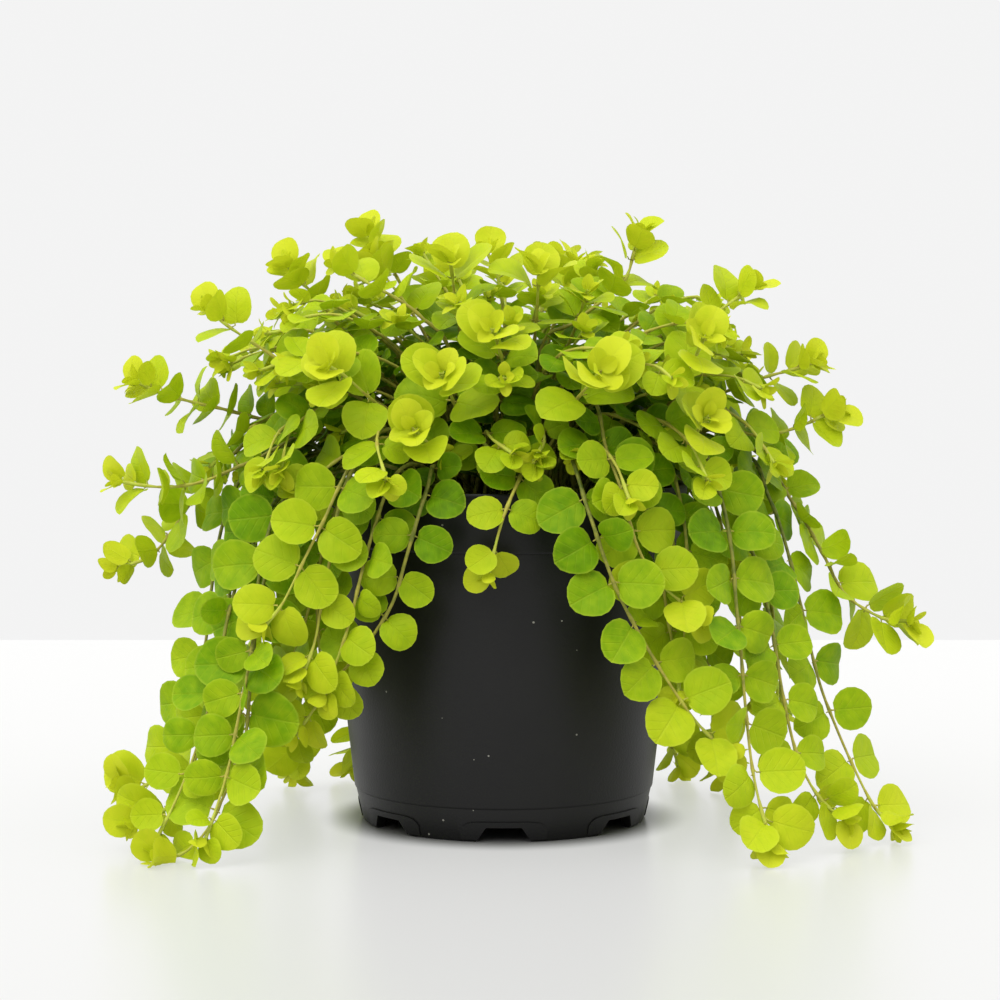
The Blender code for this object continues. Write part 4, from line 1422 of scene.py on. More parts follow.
class Room:
    """The leaves and the stems' lines placed so far, which a new leaf keeps clear of."""

    RINGS = ((0.0, 1), (0.5, 6), (1.0, 12))
    LEAF_REACH = 30.0
    LINE_REACH = 20.0
    LEAF_THICK = 1.2
    STALK_SHARE = 0.6
    PARALLEL = 0.05
    MOST_LEAVES = 8000

    def __init__(self, pot: Pot, stems: Sequence[Stem]) -> None:
        """Starts with stems and the leaves that they have.

        Args:
            pot: The pot, which leaves stand clear of.
            stems: The stems; a stem's place among them is its owner number.
        """
        self.pot = pot
        self.line_points = np.empty((0, 3))
        self.owners = np.empty(0, int)
        for stem in stems:
            self.add_line(stem.line)
        self.count = 0
        self.centres = np.empty((self.MOST_LEAVES, 3))
        self.faces = np.empty((self.MOST_LEAVES, 3))
        self.radii = np.empty(self.MOST_LEAVES)
        self.points = np.empty((self.MOST_LEAVES, 2 + sum(count for _, count in self.RINGS), 3))
        for stem in stems:
            for seat in stem.seats:
                self.add(seat)

    def add_line(self, line: np.ndarray) -> None:
        """Takes in the next stem's line.

        Args:
            line: The line's points.
        """
        number = int(self.owners.max()) + 1 if len(self.owners) else 0
        points = dense(line)
        self.line_points = np.vstack([self.line_points, points])
        self.owners = np.append(self.owners, np.full(len(points), number))

    def disc_points(self, seat: Seat) -> np.ndarray:
        """Spreads points over a leaf.

        Args:
            seat: The leaf.

        Returns:
            Two points on its stalk, then the blade's.
        """
        across = np.cross(seat.face, seat.along)
        centre = seat.centre()
        found = [seat.root + seat.along * Habit.petiole * share for share in (self.STALK_SHARE, 1)]
        for share, count in self.RINGS:
            for step in range(count):
                angle = 2 * math.pi * step / count
                way = seat.along * math.cos(angle) + across * math.sin(angle)
                found.append(centre + way * share * seat.radius)
        return np.array(found)

    def add(self, seat: Seat) -> None:
        """Takes a leaf in.

        Args:
            seat: The leaf.
        """
        at = self.count
        self.centres[at] = seat.centre()
        self.faces[at] = seat.face
        self.radii[at] = seat.radius
        self.points[at] = self.disc_points(seat)
        self.count += 1

    def hits(self, line: np.ndarray) -> int:
        """Counts the leaves that a line would run through.

        Args:
            line: The line's points.

        Returns:
            How many of the placed leaves.
        """
        offset = dense(line)[:, None, :] - self.centres[: self.count]
        rise, far = off_disc(offset, self.faces[: self.count])
        return int(((rise < self.LEAF_THICK) & (far < self.radii[: self.count])).any(axis=0).sum())

    def clear(self, seat: Seat, owner: int, care: Care) -> bool:
        """Tells whether a leaf would touch nothing.

        Args:
            seat: The leaf.
            owner: The number of the stem that it grows on.
            care: How far it keeps clear.

        Returns:
            True if it has room.
        """
        points = self.disc_points(seat)
        height = points[:, 2]
        if height.min() < care.table:
            return False
        outside = np.linalg.norm(points[:, :2], axis=1) > self.pot.radius_at(height) + Habit.blade_to_pot
        if not (outside | (height > Habit.rim_height + Habit.blade_to_pot)).all():
            return False
        centre = seat.centre()
        near = (np.abs(self.line_points - centre) < self.LINE_REACH).all(axis=1) & (self.owners != owner)
        line = self.line_points[near]
        rise, far = off_disc(line - centre, seat.face)
        if ((rise < care.stem) & (far < seat.radius + care.stem)).any():
            return False
        if len(line) and ((points[:2, None, :] - line[None]) ** 2).sum(axis=2).min() < care.stem**2:
            return False
        placed = self.centres[: self.count]
        near = (np.abs(placed - centre) < self.LEAF_REACH).all(axis=1)
        if not near.any():
            return True
        centres, faces, radii = placed[near], self.faces[: self.count][near], self.radii[: self.count][near]
        rise, far = off_disc(points[:, None, :] - centres, faces)
        if ((rise < care.gap) & (far < radii + care.edge)).any():
            return False
        rise, far = off_disc(self.points[: self.count][near] - centre, seat.face)
        if ((rise < care.gap) & (far < seat.radius + care.edge)).any():
            return False
        return not self.crosses(seat, centres, faces, radii, care.edge)

    def crosses(
        self, seat: Seat, centres: np.ndarray, faces: np.ndarray, radii: np.ndarray, edge: float
    ) -> bool:
        """Tells whether a leaf's disc cuts through another's.

        Args:
            seat: The leaf.
            centres: The other leaves' middles.
            faces: Their upper sides.
            radii: Their radii.
            edge: How much larger each is taken to be.

        Returns:
            True if any two discs cross.
        """
        across = np.cross(faces, seat.face)
        size = np.linalg.norm(across, axis=1)
        steep = size > self.PARALLEL
        if not steep.any():
            return False
        way = across[steep] / size[steep][:, None]
        centre, other, face = seat.centre(), centres[steep], faces[steep]
        reach = ((centre - other) * face).sum(axis=1)
        downhill = np.cross(seat.face, way)
        start = centre + downhill * (-reach / (downhill * face).sum(axis=1))[:, None]
        spans = []
        for middle, radius in ((centre, seat.radius), (other, radii[steep])):
            at = ((middle - start) * way).sum(axis=1)
            off = np.linalg.norm(middle - start - way * at[:, None], axis=1)
            spans.append((at, np.sqrt(np.maximum((radius + edge) ** 2 - off**2, 0))))
        (mine, mine_half), (theirs, theirs_half) = spans
        both = (mine_half > 0) & (theirs_half > 0)
        return bool((both & (abs(mine - theirs) < mine_half + theirs_half)).any())


@dataclass
class Way:
    """A way for a stem: its spot in the soil, its line, and the smooth curve of that line."""

    spot: np.ndarray
    line: np.ndarray
    curve: np.ndarray


class Grower:
    """Grows the whole plant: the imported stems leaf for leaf, then what they leave out."""

    def __init__(self, pot: Pot, view: Viewpoint) -> None:
        """Sets out the places for stems in the soil.

        Args:
            pot: The pot that the plant grows in.
            view: Where the photograph was taken from.
        """
        self.pot = pot
        self.view = view
        self.stems: list[Stem] = []
        self.taken = np.empty((0, 3))
        self.spots = self.spread_spots(Habit.stem_spots)

    @staticmethod
    def spread_spots(count: int) -> list[np.ndarray]:
        """Spreads places for stems evenly over the soil.

        Args:
            count: How many.

        Returns:
            The places.
        """
        golden = math.pi * (3 - math.sqrt(5))
        spots = []
        for index in range(count):
            radius = Habit.spot_circle * math.sqrt((index + 0.5) / count)
            spots.append(np.array((radius * math.cos(index * golden), radius * math.sin(index * golden))))
        return spots

    def planted(self, points: Sequence[np.ndarray]) -> Way:
        """Plants a stem in the free spot that suits it best.

        Args:
            points: Its points above the soil.

        Returns:
            Its way from the spot to its tip.
        """
        lean = points[0][:2]
        wish = lean * min(1.0, 0.8 * Habit.spot_circle / max(np.linalg.norm(lean), 1.0))
        spot = min(self.spots, key=lambda place: float(np.linalg.norm(place - wish)))
        foot = [np.append(spot, Habit.stem_foot), np.append(spot, Habit.stem_straight)]
        curve = smooth_line([foot[1], *points], Habit.curve_step)
        return Way(spot, np.vstack([foot[0], thinned(curve, Habit.bend_error)]), np.vstack([foot[0], curve]))

    def line_clear(self, line: np.ndarray, apart: float) -> bool:
        """Tells whether a line keeps clear of the pot, the table and the other lines.

        Args:
            line: The stem's line.
            apart: How far it stays from the others.

        Returns:
            True if it does.
        """
        fine = dense(line[1:])
        low = fine[fine[:, 2] < Habit.rim_height + Habit.stem_to_pot]
        radius = np.linalg.norm(low[:, :2], axis=1)
        outside = radius > self.pot.radius_at(low[:, 2]) + Habit.stem_to_pot
        inside = (radius < Habit.rim_radius - Habit.stem_in_rim) & (low[:, 2] > Habit.soil_top)
        if not (outside | inside).all() or fine[:, 2].min() < Habit.stem_over_table:
            return False
        near = (self.taken > fine.min(axis=0) - apart).all(axis=1)
        near &= (self.taken < fine.max(axis=0) + apart).all(axis=1)
        if not near.any():
            return True
        gaps = fine[:, None, :] - self.taken[near][None, :, :]
        return bool((gaps**2).sum(axis=2).min() >= apart**2)

    def clear_ways(self, choices: Iterable[Sequence[np.ndarray]], apart: float) -> Iterator[Way]:
        """Sorts out the ways that have room.

        Args:
            choices: Each way's points above the soil.
            apart: How far a way stays from the other lines.

        Yields:
            Each way that has room.
        """
        for points in choices:
            way = self.planted(points)
            if self.line_clear(way.line, apart):
                yield way

    def grow_stem(self, name: str, habit: Route | Sweep, way: Way | None) -> Stem:
        """Grows a stem along its way, which takes up the spot and the line.

        Args:
            name: The stem's name.
            habit: What it takes its leaves from.
            way: Its way, if one was found.

        Returns:
            The stem, with no leaves yet.
        """
        if way is None:
            raise ValueError(f"{name} finds no clear way")
        self.spots = [place for place in self.spots if place is not way.spot]
        self.taken = np.vstack([self.taken, dense(way.line)])
        return Stem(name, habit, way.line, way.curve, habit.facing)

    def grow_packed_stems(self) -> None:
        """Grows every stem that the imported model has, in its order, along the first clear way."""
        for route in SEEN_STEMS:
            shifts = [0.0]
            for size in range(1, Habit.depth_shifts + 1):
                shifts += [Habit.depth_shift * size, -Habit.depth_shift * size]
            ways = self.clear_ways((route.traced(self.view, shift) for shift in shifts), Habit.stem_apart)
            self.stems.append(self.grow_stem(route.name, route, next(ways, None)))
        for sweep in HIDDEN_STEMS:
            for name, choices in sweep.shoots(Habit.sweep_tries):
                ways = self.clear_ways(choices, Habit.stem_apart)
                self.stems.append(self.grow_stem(name, sweep, next(ways, None)))

    @staticmethod
    def drawn_seat(
        stem: Stem, root: np.ndarray, way: np.ndarray, light: np.ndarray, side: np.ndarray,
        pair: Pair, stray: int, draw: random.Random,
    ) -> Seat:
        """Draws one try at a leaf.

        Args:
            stem: The stem that it grows on.
            root: Where on the stem.
            way: The stem's direction there.
            light: Where the light comes from there.
            side: The side of the stem that it leaves by.
            pair: The pair that it belongs to.
            stray: How far this try strays, from 0.
            draw: The source of its draws.

        Returns:
            The seat.
        """
        roll = draw.uniform(-Habit.seat_roll, Habit.seat_roll) * (1 + 0.12 * stray)
        pitch = math.radians(pair.lean + draw.uniform(-Habit.seat_pitch, Habit.seat_pitch))
        tilt = draw.uniform(-Habit.seat_tilt, Habit.seat_tilt) * (1 + 0.06 * stray)
        size = stem.habit.leaf * pair.share * draw.uniform(*Habit.seat_size) * (1 - 0.012 * stray)
        along = turned(side, way, roll)
        along = unit(along * math.cos(pitch) + way * math.sin(pitch))
        face = unit(light - along * np.dot(light, along))
        return Seat(root, along, turned(face, along, tilt), size)

    @staticmethod
    def youth_of(back: float, root: np.ndarray, prime: float) -> float:
        """How young leaves look, from 0 to 1: prime at the tip, less further in, and less again by a painted
        shade near the mound's heart.
        """
        painted_shade = Habit.heart_painted_shade * max(0.0, 1 - np.linalg.norm((root - Habit.heart) / Habit.heart_size))
        return float(np.interp(back, *Habit.ages)) * prime - painted_shade

    def grow_pairs(
        self, stem: Stem, owner: int, room: Room, pairs: Sequence[Pair], seed: str, care: Care
    ) -> None:
        """Grows leaves in pairs where there is room for them.

        Args:
            stem: The stem.
            owner: Its owner number.
            room: The room, which takes the leaves in.
            pairs: The pairs' places.
            seed: What their draws start from.
            care: How far they keep clear.
        """
        draw = random.Random(seed)
        for pair in pairs:
            root, way = point_at(stem.line, pair.back)
            light = stem.light_on(root)
            side = turned(unit(np.cross(way, light)), way, pair.roll)
            if pair.roll:
                light = unit(light - side * np.dot(light, side) + 0.5 * way)
            for sign in (1, -1):
                for attempt in range(care.tries):
                    stray = care.stray * attempt
                    seat = self.drawn_seat(stem, root, way, light, side * sign, pair, stray, draw)
                    if room.clear(seat, owner, care):
                        # The colour age includes painted shade: leaves near the mound's heart are made darker
                        # green.
                        seat.youth = self.youth_of(pair.back, root, stem.prime)
                        room.add(seat)
                        stem.seats.append(seat)
                        break

    def grow_packed_leaves(self) -> Room:
        """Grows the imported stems' leaves, then the young ones to their full size.

        Returns:
            The room with them in it.
        """
        room = Room(self.pot, self.stems)
        for owner, stem in enumerate(self.stems):
            self.grow_pairs(stem, owner, room, stem.pairs(), f"{SEED} {stem.name}", PACKED_CARE)
        for stem in self.stems:
            for seat in stem.seats:
                seat.radius += Habit.young_growth * min(1.0, max(0.0, seat.youth - 0.6) / 0.3)
        return Room(self.pot, self.stems)

    def filling_ways(self, room: Room) -> Iterator[tuple[str, Route | Sweep, Way | None]]:
        """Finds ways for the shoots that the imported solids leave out, one after another.

        Args:
            room: The room with the leaves so far.

        Yields:
            Each shoot's name, its habit, and its way if there is one: the first clear one
            of a seen shoot, and the one that meets the fewest leaves of any other.
        """
        for route in FILLING_ROUTES:
            choices = (route.traced(self.view, shift) for shift in Filling.shifts)
            yield route.name, route, next(self.clear_ways(choices, Filling.apart), None)
        for sweep in FILLING_SHOOTS:
            for name, choices in sweep.shoots(Filling.tries):
                ways = self.clear_ways(choices, Filling.apart)
                yield name, sweep, min(ways, key=lambda way: room.hits(way.line), default=None)

    def fill(self, stem: Stem, owner: int, room: Room, pairs: Sequence[Pair]) -> None:
        """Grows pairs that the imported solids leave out; see grow_pairs."""
        seed = f"{SEED} fill {stem.name} {len(stem.seats)}"
        self.grow_pairs(stem, owner, room, pairs, seed, FILLING_CARE)

    def grow_filling(self, room: Room) -> list[Stem]:
        """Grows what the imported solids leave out: shoots, then leaf pairs on every bare stretch.

        Args:
            room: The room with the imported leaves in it.

        Returns:
            The new stems, with their leaves.
        """
        feet = [stem.line[0][:2] for stem in self.stems]
        spots = self.spread_spots(Filling.spots)
        self.spots = [s for s in spots if min(np.linalg.norm(s - foot) for foot in feet) > Filling.apart]
        fresh: list[Stem] = []
        for name, habit, way in self.filling_ways(room):
            if way is not None:
                stem = self.grow_stem(name, habit, way)
                stem.prime = Filling.prime
                if isinstance(habit, Sweep):
                    stem.facing, stem.lift = Filling.facing, Filling.lift
                fresh.append(stem)
                room.add_line(stem.line)
        every = self.stems + fresh
        for owner, stem in enumerate(every):
            packed = owner < len(self.stems)
            self.fill(stem, owner, room, [stem.cross_pair()] if packed else stem.pairs())
            if packed and stem.line[-1][2] < Filling.lying:
                self.fill(stem, owner, room, LYING_PAIRS)
        for owner, stem in enumerate(every):
            self.fill(stem, owner, room, stem.bare_pairs())
        for stem in every:
            self.close_tip(stem)
        return fresh

    @staticmethod
    def close_tip(stem: Stem) -> None:
        """Adds the small leaves that are still folded over a stem's growing tip.

        Args:
            stem: The stem.
        """
        draw = random.Random(f"{SEED} tip {stem.name}")
        for pair in YOUNG_PAIRS:
            root, way = point_at(stem.line, pair.back)
            side = unit(np.cross(way, stem.light_on(root)))
            side = turned(side, way, pair.roll + draw.uniform(-Filling.young_roll, Filling.young_roll))
            for sign in (1, -1):
                lean = math.radians(pair.lean + draw.uniform(-Filling.young_lean, Filling.young_lean))
                along = unit(side * sign * math.cos(lean) + way * math.sin(lean))
                face = unit(way - along * np.dot(way, along))
                size = stem.habit.leaf * pair.share * draw.uniform(*Filling.young_size)
                tilt = draw.uniform(-Filling.young_tilt, Filling.young_tilt)
                stem.seats.append(Seat(root, along, turned(face, along, tilt), size, 1.0))


# Leaves and stems as meshes


class LeafPattern:
    """The leaf that all leaves are copies of: a flat disc of radius 1 with its base at -X.

    TUCK is how far a blade's base lies over its stalk, LOWEST how far it stays over the
    table, and from YOUNG_RADIUS down over YOUNG_SPAN a young leaf turns pointed, in mm.
    SLIDE and LIFT are how far out and up it gives for each mm that it dips under LOWEST.
    The pairs from NOTCH on are shares of a leaf's radius that each copy draws between.
    """

    SIDES = 18
    INSETS = (0.17, 0.36)
    TUCK = 0.9
    LOWEST = 0.4
    SLIDE = 0.5
    LIFT = 1.1
    YOUNG_RADIUS = 4.4
    YOUNG_SPAN = 1.5
    YOUTH_FROM = 0.8
    POINT = 0.16
    POINT_WIDTH = 0.5
    NOTCH_WIDTH = 0.3
    UNEVEN = (0.018, 0.012)
    LONGER = 0.02
    YOUNG_CUP = 0.16
    SUNK = 0.25
    NOTCH = (0.09, 0.17)
    WIDTH = (0.94, 1.04)
    CUP = (-0.1, 0.14)
    FOLD = (0.05, 0.26)
    ARCH = (0.04, 0.24)
    WAVE = (0.03, 0.09)
    RIPPLE = (0.01, 0.035)
    CURL = (-0.02, 0.12)
    TWIST = (-0.12, 0.12)

    def __init__(self) -> None:
        """Models the pattern and keeps its points and faces."""
        deselect_all()
        bpy.ops.mesh.primitive_circle_add(vertices=self.SIDES, radius=1.0, fill_type="NGON")
        disc = open_up()
        bpy.ops.transform.rotate(value=math.pi / 2, orient_axis="Z", center_override=(0, 0, 0))
        for inset in self.INSETS:
            bpy.ops.mesh.inset(thickness=inset)
        bpy.ops.mesh.poke()
        bpy.ops.object.mode_set(mode="OBJECT")
        self.flat = np.array([corner.co for corner in disc.data.vertices])[:, :2]
        self.faces = [tuple(face.vertices) for face in disc.data.polygons]
        bpy.data.objects.remove(disc)

    def shaped(self, seat: Seat, draw: random.Random) -> np.ndarray:
        """Shapes one copy: notched at the base, cupped, folded along the midrib and waved.

        Args:
            seat: Where it grows.
            draw: The source of its own shape.

        Returns:
            Its points in mm.
        """
        x, y = self.flat[:, 0], self.flat[:, 1]
        far = np.hypot(x, y)
        turn = np.arctan2(y, x)
        from_base = math.pi - np.abs(turn)
        notch = draw.uniform(*self.NOTCH) * np.exp(-((from_base / self.NOTCH_WIDTH) ** 2)) * far**3
        phases = [draw.uniform(0, math.tau) for _ in range(3)]
        broad, fine = self.UNEVEN
        edge = broad * np.sin(3 * turn + phases[0]) + fine * np.sin(5 * turn + phases[1])
        reach = 1 - notch + (edge + self.LONGER * np.cos(turn)) * far
        small = min(1.0, max(0.0, self.YOUNG_RADIUS - seat.radius) / self.YOUNG_SPAN)
        young = max(0.0, seat.youth - self.YOUTH_FROM) / (1 - self.YOUTH_FROM) * small
        reach += self.POINT * young * np.exp(-((turn / self.POINT_WIDTH) ** 2)) * far
        x, y = x * reach, y * reach * draw.uniform(*self.WIDTH) * (1 - self.POINT * young)
        cup = draw.uniform(*self.CUP) + self.YOUNG_CUP * max(0.0, seat.youth - 0.5)
        fold = draw.uniform(*self.FOLD)
        arch = draw.uniform(*self.ARCH)
        wave = draw.uniform(*self.WAVE) * np.sin(2 * turn + phases[2]) * far**2
        ripple = draw.uniform(*self.RIPPLE) * np.sin(5 * turn + phases[0]) * far**3
        curl = draw.uniform(*self.CURL) * far**4
        twist = draw.uniform(*self.TWIST)
        rise = cup * (x**2 + y**2) + fold * np.abs(y) - arch * x**2 + wave + ripple - curl + twist * x * y
        rise -= self.SUNK * cup
        radius = seat.radius
        middle = Habit.petiole - self.TUCK + Habit.blade_middle * radius
        across = np.cross(seat.face, seat.along)
        ways = np.outer(middle + x * radius, seat.along) + np.outer(y * radius, across)
        return self.laid(seat.root + ways + np.outer(rise * radius, seat.face))

    def laid(self, points: np.ndarray) -> np.ndarray:
        """Bends what would dip below the table up and outwards, so that it lies on it.

        Args:
            points: Points in mm, one a row.

        Returns:
            The bent points.
        """
        dip = np.maximum(0.0, self.LOWEST - points[:, 2])
        out = points[:, :2] / np.maximum(np.linalg.norm(points[:, :2], axis=1), 1.0)[:, None]
        return points + np.column_stack([self.SLIDE * out * dip[:, None], self.LIFT * dip])


@dataclass
class Foliage:
    """Turns grown stems to pieces: smooth tubes, stalks and leaves. Sizes in mm.

    sections are a stalk's at the stem, near it and in the blade: its share of the full
    size, and how far it lies over the blade's plane. A stalk is thinnest, by least_share,
    on the smallest leaf; it bends at bend_share of its length and ends grip_share of the
    radius inside the blade.
    """

    stem_radius: float = 0.72
    tip_share: float = 0.5
    node_swell: float = 1.28
    swell_loss: float = 0.35
    youth_fade: float = 60.0
    stalk_radius: float = 0.34
    least_share: float = 0.6
    full_leaf: float = 7.0
    bend_share: float = 0.35
    grip_share: float = 0.14
    stalk_youth: tuple[float, float] = (0.35, 0.5)
    sections: tuple[tuple[float, float], ...] = ((1.35, 0.0), (1.0, -0.1), (0.55, -0.12))
    leaf_finish: LeafSkin = field(default_factory=LeafSkin)
    stem_finish: StemSkin = field(default_factory=StemSkin)
    pattern: LeafPattern = field(default_factory=LeafPattern)

    def tube(self, stem: Stem) -> bpy.types.Object:
        """Models a stem's tube along its smooth curve, swollen at its nodes.

        Args:
            stem: The stem.

        Returns:
            The tube, with its youth painted from the soil to the tip.
        """
        places = stem.curve
        steps = np.append(0, np.cumsum(np.linalg.norm(np.diff(places, axis=0), axis=1)))
        share = steps / steps[-1]
        radii = self.stem_radius * (1 - (1 - self.tip_share) * share**1.5)
        for seat in stem.seats:
            near = np.linalg.norm(places - seat.root, axis=1).argmin()
            swell = self.node_swell * (1 - self.swell_loss * share[near])
            radii[near] = max(radii[near], self.stem_radius * swell)
        data = bpy.data.curves.new(stem.name + "_tube", "CURVE")
        data.dimensions = "3D"
        data.bevel_depth = MM
        data.bevel_resolution = 1
        data.use_fill_caps = True
        spline = data.splines.new("POLY")
        spline.points.add(len(places) - 1)
        for point, place, radius in zip(spline.points, places, radii):
            point.co = (*(place * MM), 1.0)
            point.radius = float(radius)
        hold(placed(stem.name + "_tube", data))
        bpy.ops.object.convert(target="MESH")
        tube = bpy.context.object
        corners = np.array([corner.co for corner in tube.data.vertices]) / MM
        nearest = ((corners[:, None, :] - places[None]) ** 2).sum(axis=2).argmin(axis=1)
        reach = steps[-1] - steps[nearest]
        self.paint(tube.data, np.exp(-reach / self.youth_fade), np.zeros(len(corners)))
        self.stem_finish.dress(tube)
        return tube

    @staticmethod
    def paint(mesh: bpy.types.Mesh, youth: np.ndarray, chance: np.ndarray) -> None:
        """Stores each point's youth, less any painted shade on leaves, and chance.

        Args:
            mesh: The mesh.
            youth: From 0, old or darkened by painted shade, to 1, young.
            chance: A number from 0 to 1 that is the same all over a leaf.
        """
        for name, values in (("youth", youth), ("chance", chance)):
            layer = mesh.attributes.new(name, "FLOAT", "POINT")
            layer.data.foreach_set("value", np.asarray(values, np.float32))

    def stalk(self, seat: Seat, start: np.ndarray) -> tuple[np.ndarray, list[tuple[int, ...]]]:
        """Models a leaf's stalk: a three-sided tube from the stem into the blade.

        Args:
            seat: Where the leaf grows.
            start: The nearest point of the stem's smooth curve.

        Returns:
            Its points in mm and its faces.
        """
        across = np.cross(seat.face, seat.along)
        full = min(1.0, seat.radius / self.full_leaf)
        slim = self.stalk_radius * (self.least_share + (1 - self.least_share) * full)
        bend = seat.root + seat.along * Habit.petiole * self.bend_share
        end = seat.root + seat.along * (Habit.petiole - LeafPattern.TUCK + self.grip_share * seat.radius)
        points = []
        for place, (share, over) in zip((start, bend, end), self.sections):
            for angle in (-math.pi / 2, math.pi / 6, 5 * math.pi / 6):
                out = across * math.cos(angle) + seat.face * math.sin(angle)
                points.append(place + seat.face * over + slim * share * out)
        faces: list[tuple[int, ...]] = [(2, 1, 0), (6, 7, 8)]
        for ring in (0, 3):
            for step in range(3):
                after = (step + 1) % 3
                faces.append((ring + step, ring + after, ring + 3 + after, ring + 3 + step))
        return self.pattern.laid(np.array(points)), faces

    def leaves(self, stem: Stem) -> bpy.types.Object:
        """Models all the leaves of a stem, with their stalks.

        Args:
            stem: The stem.

        Returns:
            One object with the leaves first and the stalks after them.
        """
        draw = random.Random(f"{SEED} leaves {stem.name}")
        oldest, more = self.stalk_youth
        parts = []
        for seat in stem.seats:
            points = self.pattern.shaped(seat, draw)
            parts.append((points, self.pattern.faces, self.pattern.flat, seat.youth, draw.random()))
        for seat in stem.seats:
            start = stem.curve[np.linalg.norm(stem.curve - seat.root, axis=1).argmin()]
            points, sides = self.stalk(seat, start)
            parts.append((points, sides, np.zeros((len(points), 2)), oldest + more * seat.youth, 0.0))
        faces: list[tuple[int, ...]] = []
        total = 0
        for points, sides, *_ in parts:
            faces += [tuple(corner + total for corner in side) for side in sides]
            total += len(points)
        mesh = bpy.data.meshes.new(stem.name + "_leaves")
        mesh.from_pydata((np.vstack([part[0] for part in parts]) * MM).tolist(), [], faces)
        mesh.materials.append(self.leaf_finish.material())
        mesh.materials.append(self.stem_finish.material())
        blades = len(stem.seats) * len(self.pattern.faces)
        mesh.polygons.foreach_set("material_index", [0] * blades + [1] * (len(faces) - blades))
        corners = np.empty(len(mesh.loops), int)
        mesh.loops.foreach_get("vertex_index", corners)
        spots = np.vstack([part[2] for part in parts])
        layer = mesh.uv_layers.new(name="leaf")
        layer.data.foreach_set("uv", spots[corners].astype(np.float32).ravel())
        youth, chance = (np.concatenate([np.full(len(part[0]), part[at]) for part in parts]) for at in (3, 4))
        self.paint(mesh, youth, chance)
        return placed(stem.name + "_leaves", mesh)

    def piece(self, name: str, stems: Sequence[Stem], nodes: Sequence[str] = ()) -> bpy.types.Object:
        """Models leafy stems as one piece.

        Args:
            name: The piece's name, without the leafy_ that each starts with.
            stems: The stems in it.
            nodes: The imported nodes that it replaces.

        Returns:
            The dressed piece.
        """
        parts = [self.leaves(stem) for stem in stems if stem.seats]
        parts += [self.tube(stem) for stem in stems]
        return finished(joined("leafy_" + name, parts), Slot.LEAF, nodes)


# The studio


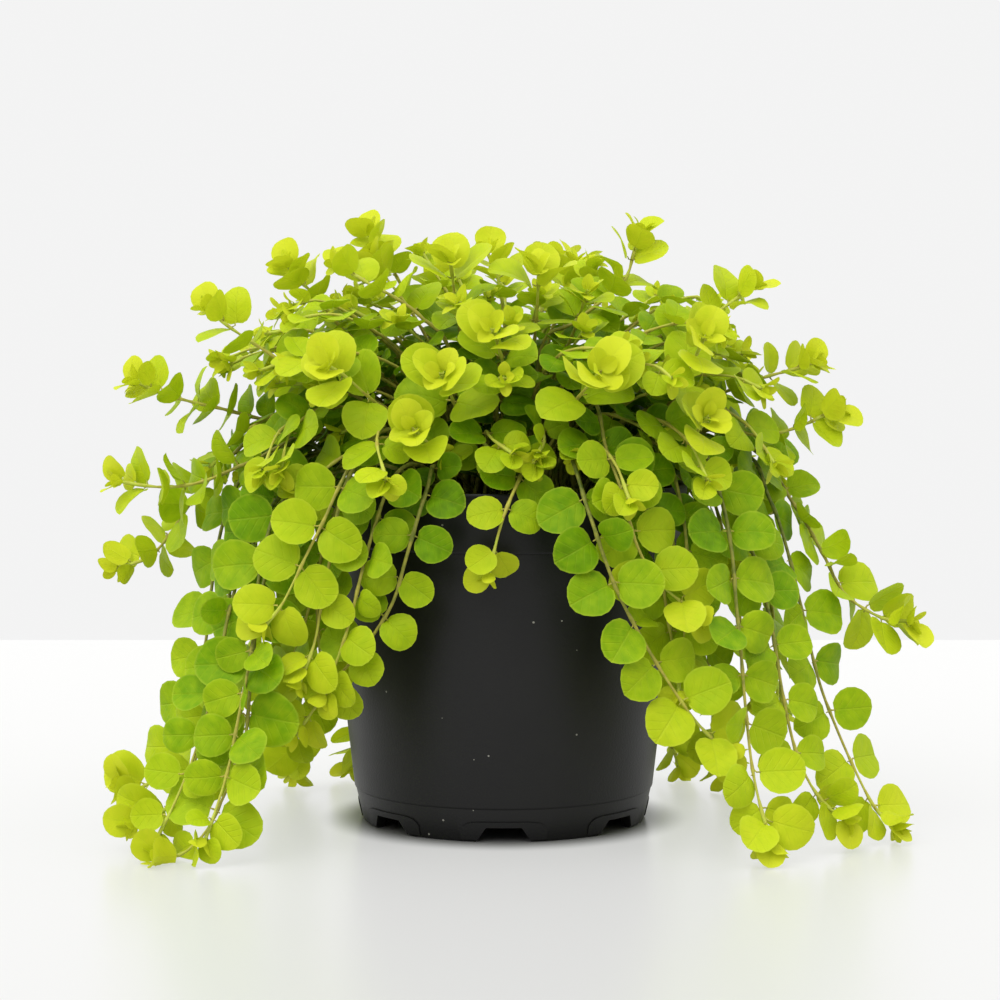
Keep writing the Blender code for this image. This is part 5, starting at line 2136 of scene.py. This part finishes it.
@dataclass
class Studio:
    """A white table with a painted glow, in a bright white room, with a broad soft light from above. Metres.
    """

    table_back: float = 0.493
    table_side: float = 3.0
    table_front: float = 3.0
    wall: float = 0.9
    behind_camera: float = 0.5
    ceiling: float = 0.6
    windows: float = 0.7
    right_window: float = 0.55
    lamp_strength: float = 2.0
    lamp_spread: float = 60.0
    lamp_from: tuple[float, float, float] = (-0.25, -0.6, 0.8)
    sensor: float = 36.0
    clip: float = 0.05
    finish: OpalAcrylic = field(default_factory=OpalAcrylic)

    def build_table(self) -> None:
        """Models the table top."""
        deselect_all()
        bpy.ops.mesh.primitive_plane_add(size=1)
        table = bpy.context.object
        table.name = "table"
        for corner in table.data.vertices:
            corner.co.x = math.copysign(self.table_side, corner.co.x)
            corner.co.y = self.table_back if corner.co.y > 0 else -self.table_front
        self.finish.dress(table)

    def build_light(self) -> None:
        """Sets the room's light, dimmest behind the camera and brighter left than right, and one lamp."""
        world = bpy.data.worlds.new("studio")
        bpy.context.scene.world = world
        world.use_nodes = True
        tree = world.node_tree
        tree.nodes.clear()
        place = add_node(tree, "TexCoord")
        axes = add_node(tree, "SeparateXYZ", links={0: (place, "Generated")})
        room = {1: -0.9, 2: 0.1, 3: self.behind_camera, 4: self.wall}
        round_about = add_node(tree, "MapRange", SMOOTH, room, {0: (axes, "Y")})
        room = {1: 0.2, 2: 0.95, 3: 0.0, 4: self.ceiling}
        above = add_node(tree, "MapRange", SMOOTH, room, {0: (axes, "Z")})
        off = add_node(tree, "Math", SIZE, links={0: (axes, "X")})
        room = {1: 0.3, 2: 0.9, 3: 0.0, 4: self.windows}
        sides = add_node(tree, "MapRange", SMOOTH, room, {0: (off, 0)})
        room = {1: -0.6, 2: 0.6, 3: 1.0, 4: self.right_window}
        uneven = add_node(tree, "MapRange", None, room, {0: (axes, "X")})
        sides = add_node(tree, "Math", TIMES, links={0: (sides, 0), 1: (uneven, 0)})
        both = add_node(tree, "Math", PLUS, links={0: (round_about, 0), 1: (above, 0)})
        whole = add_node(tree, "Math", PLUS, links={0: (both, 0), 1: (sides, 0)})
        sky = add_node(tree, "Background", None, {"Color": (1, 1, 1, 1)}, {"Strength": (whole, 0)})
        add_node(tree, "OutputWorld", links={"Surface": (sky, 0)})
        lamp = bpy.data.lights.new("lamp", "SUN")
        lamp.energy = self.lamp_strength
        lamp.angle = math.radians(self.lamp_spread)
        placed("lamp", lamp).rotation_euler = Vector(self.lamp_from).to_track_quat("Z", "Y").to_euler()

    def build_camera(self, view: Viewpoint) -> None:
        """Sets the camera where the photograph was taken from.

        Args:
            view: The viewpoint.
        """
        data = bpy.data.cameras.new("camera")
        data.sensor_width = self.sensor
        data.lens = self.sensor * view.focal / view.frame
        data.clip_start = self.clip
        camera = placed("camera", data)
        camera.location = Vector(view.place) * MM
        camera.rotation_euler = (math.radians(90 - view.pitch), 0, 0)
        bpy.context.scene.camera = camera

    def build(self, view: Viewpoint) -> None:
        """Builds the table, the lights and the camera, and sets how light becomes colour.

        Args:
            view: Where the photograph was taken from.
        """
        self.build_table()
        self.build_light()
        self.build_camera(view)
        bpy.context.scene.view_settings.view_transform = "Standard"


def main() -> None:
    """Builds every class in order and reports each piece."""
    logging.basicConfig(level=logging.INFO, format="%(message)s", stream=sys.stdout)
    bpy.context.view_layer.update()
    view = Viewpoint()
    pot = Pot()
    Studio().build(view)
    pot.build()
    RootBall().build()
    grower = Grower(pot, view)
    grower.grow_packed_stems()
    room = grower.grow_packed_leaves()
    LOG.info("packed stems %d, leaves %d", len(grower.stems), room.count)
    fresh = grower.grow_filling(room)
    LOG.info("added stems %d, leaves in all %d", len(fresh), room.count)
    foliage = Foliage()
    for stem in grower.stems:
        foliage.piece(stem.name, [stem], [stem.name])
    for habit in (*FILLING_ROUTES, *FILLING_SHOOTS):
        group = [stem for stem in fresh if stem.habit is habit]
        if group:
            foliage.piece(habit.name, group)


if __name__ == "__main__":
    main()
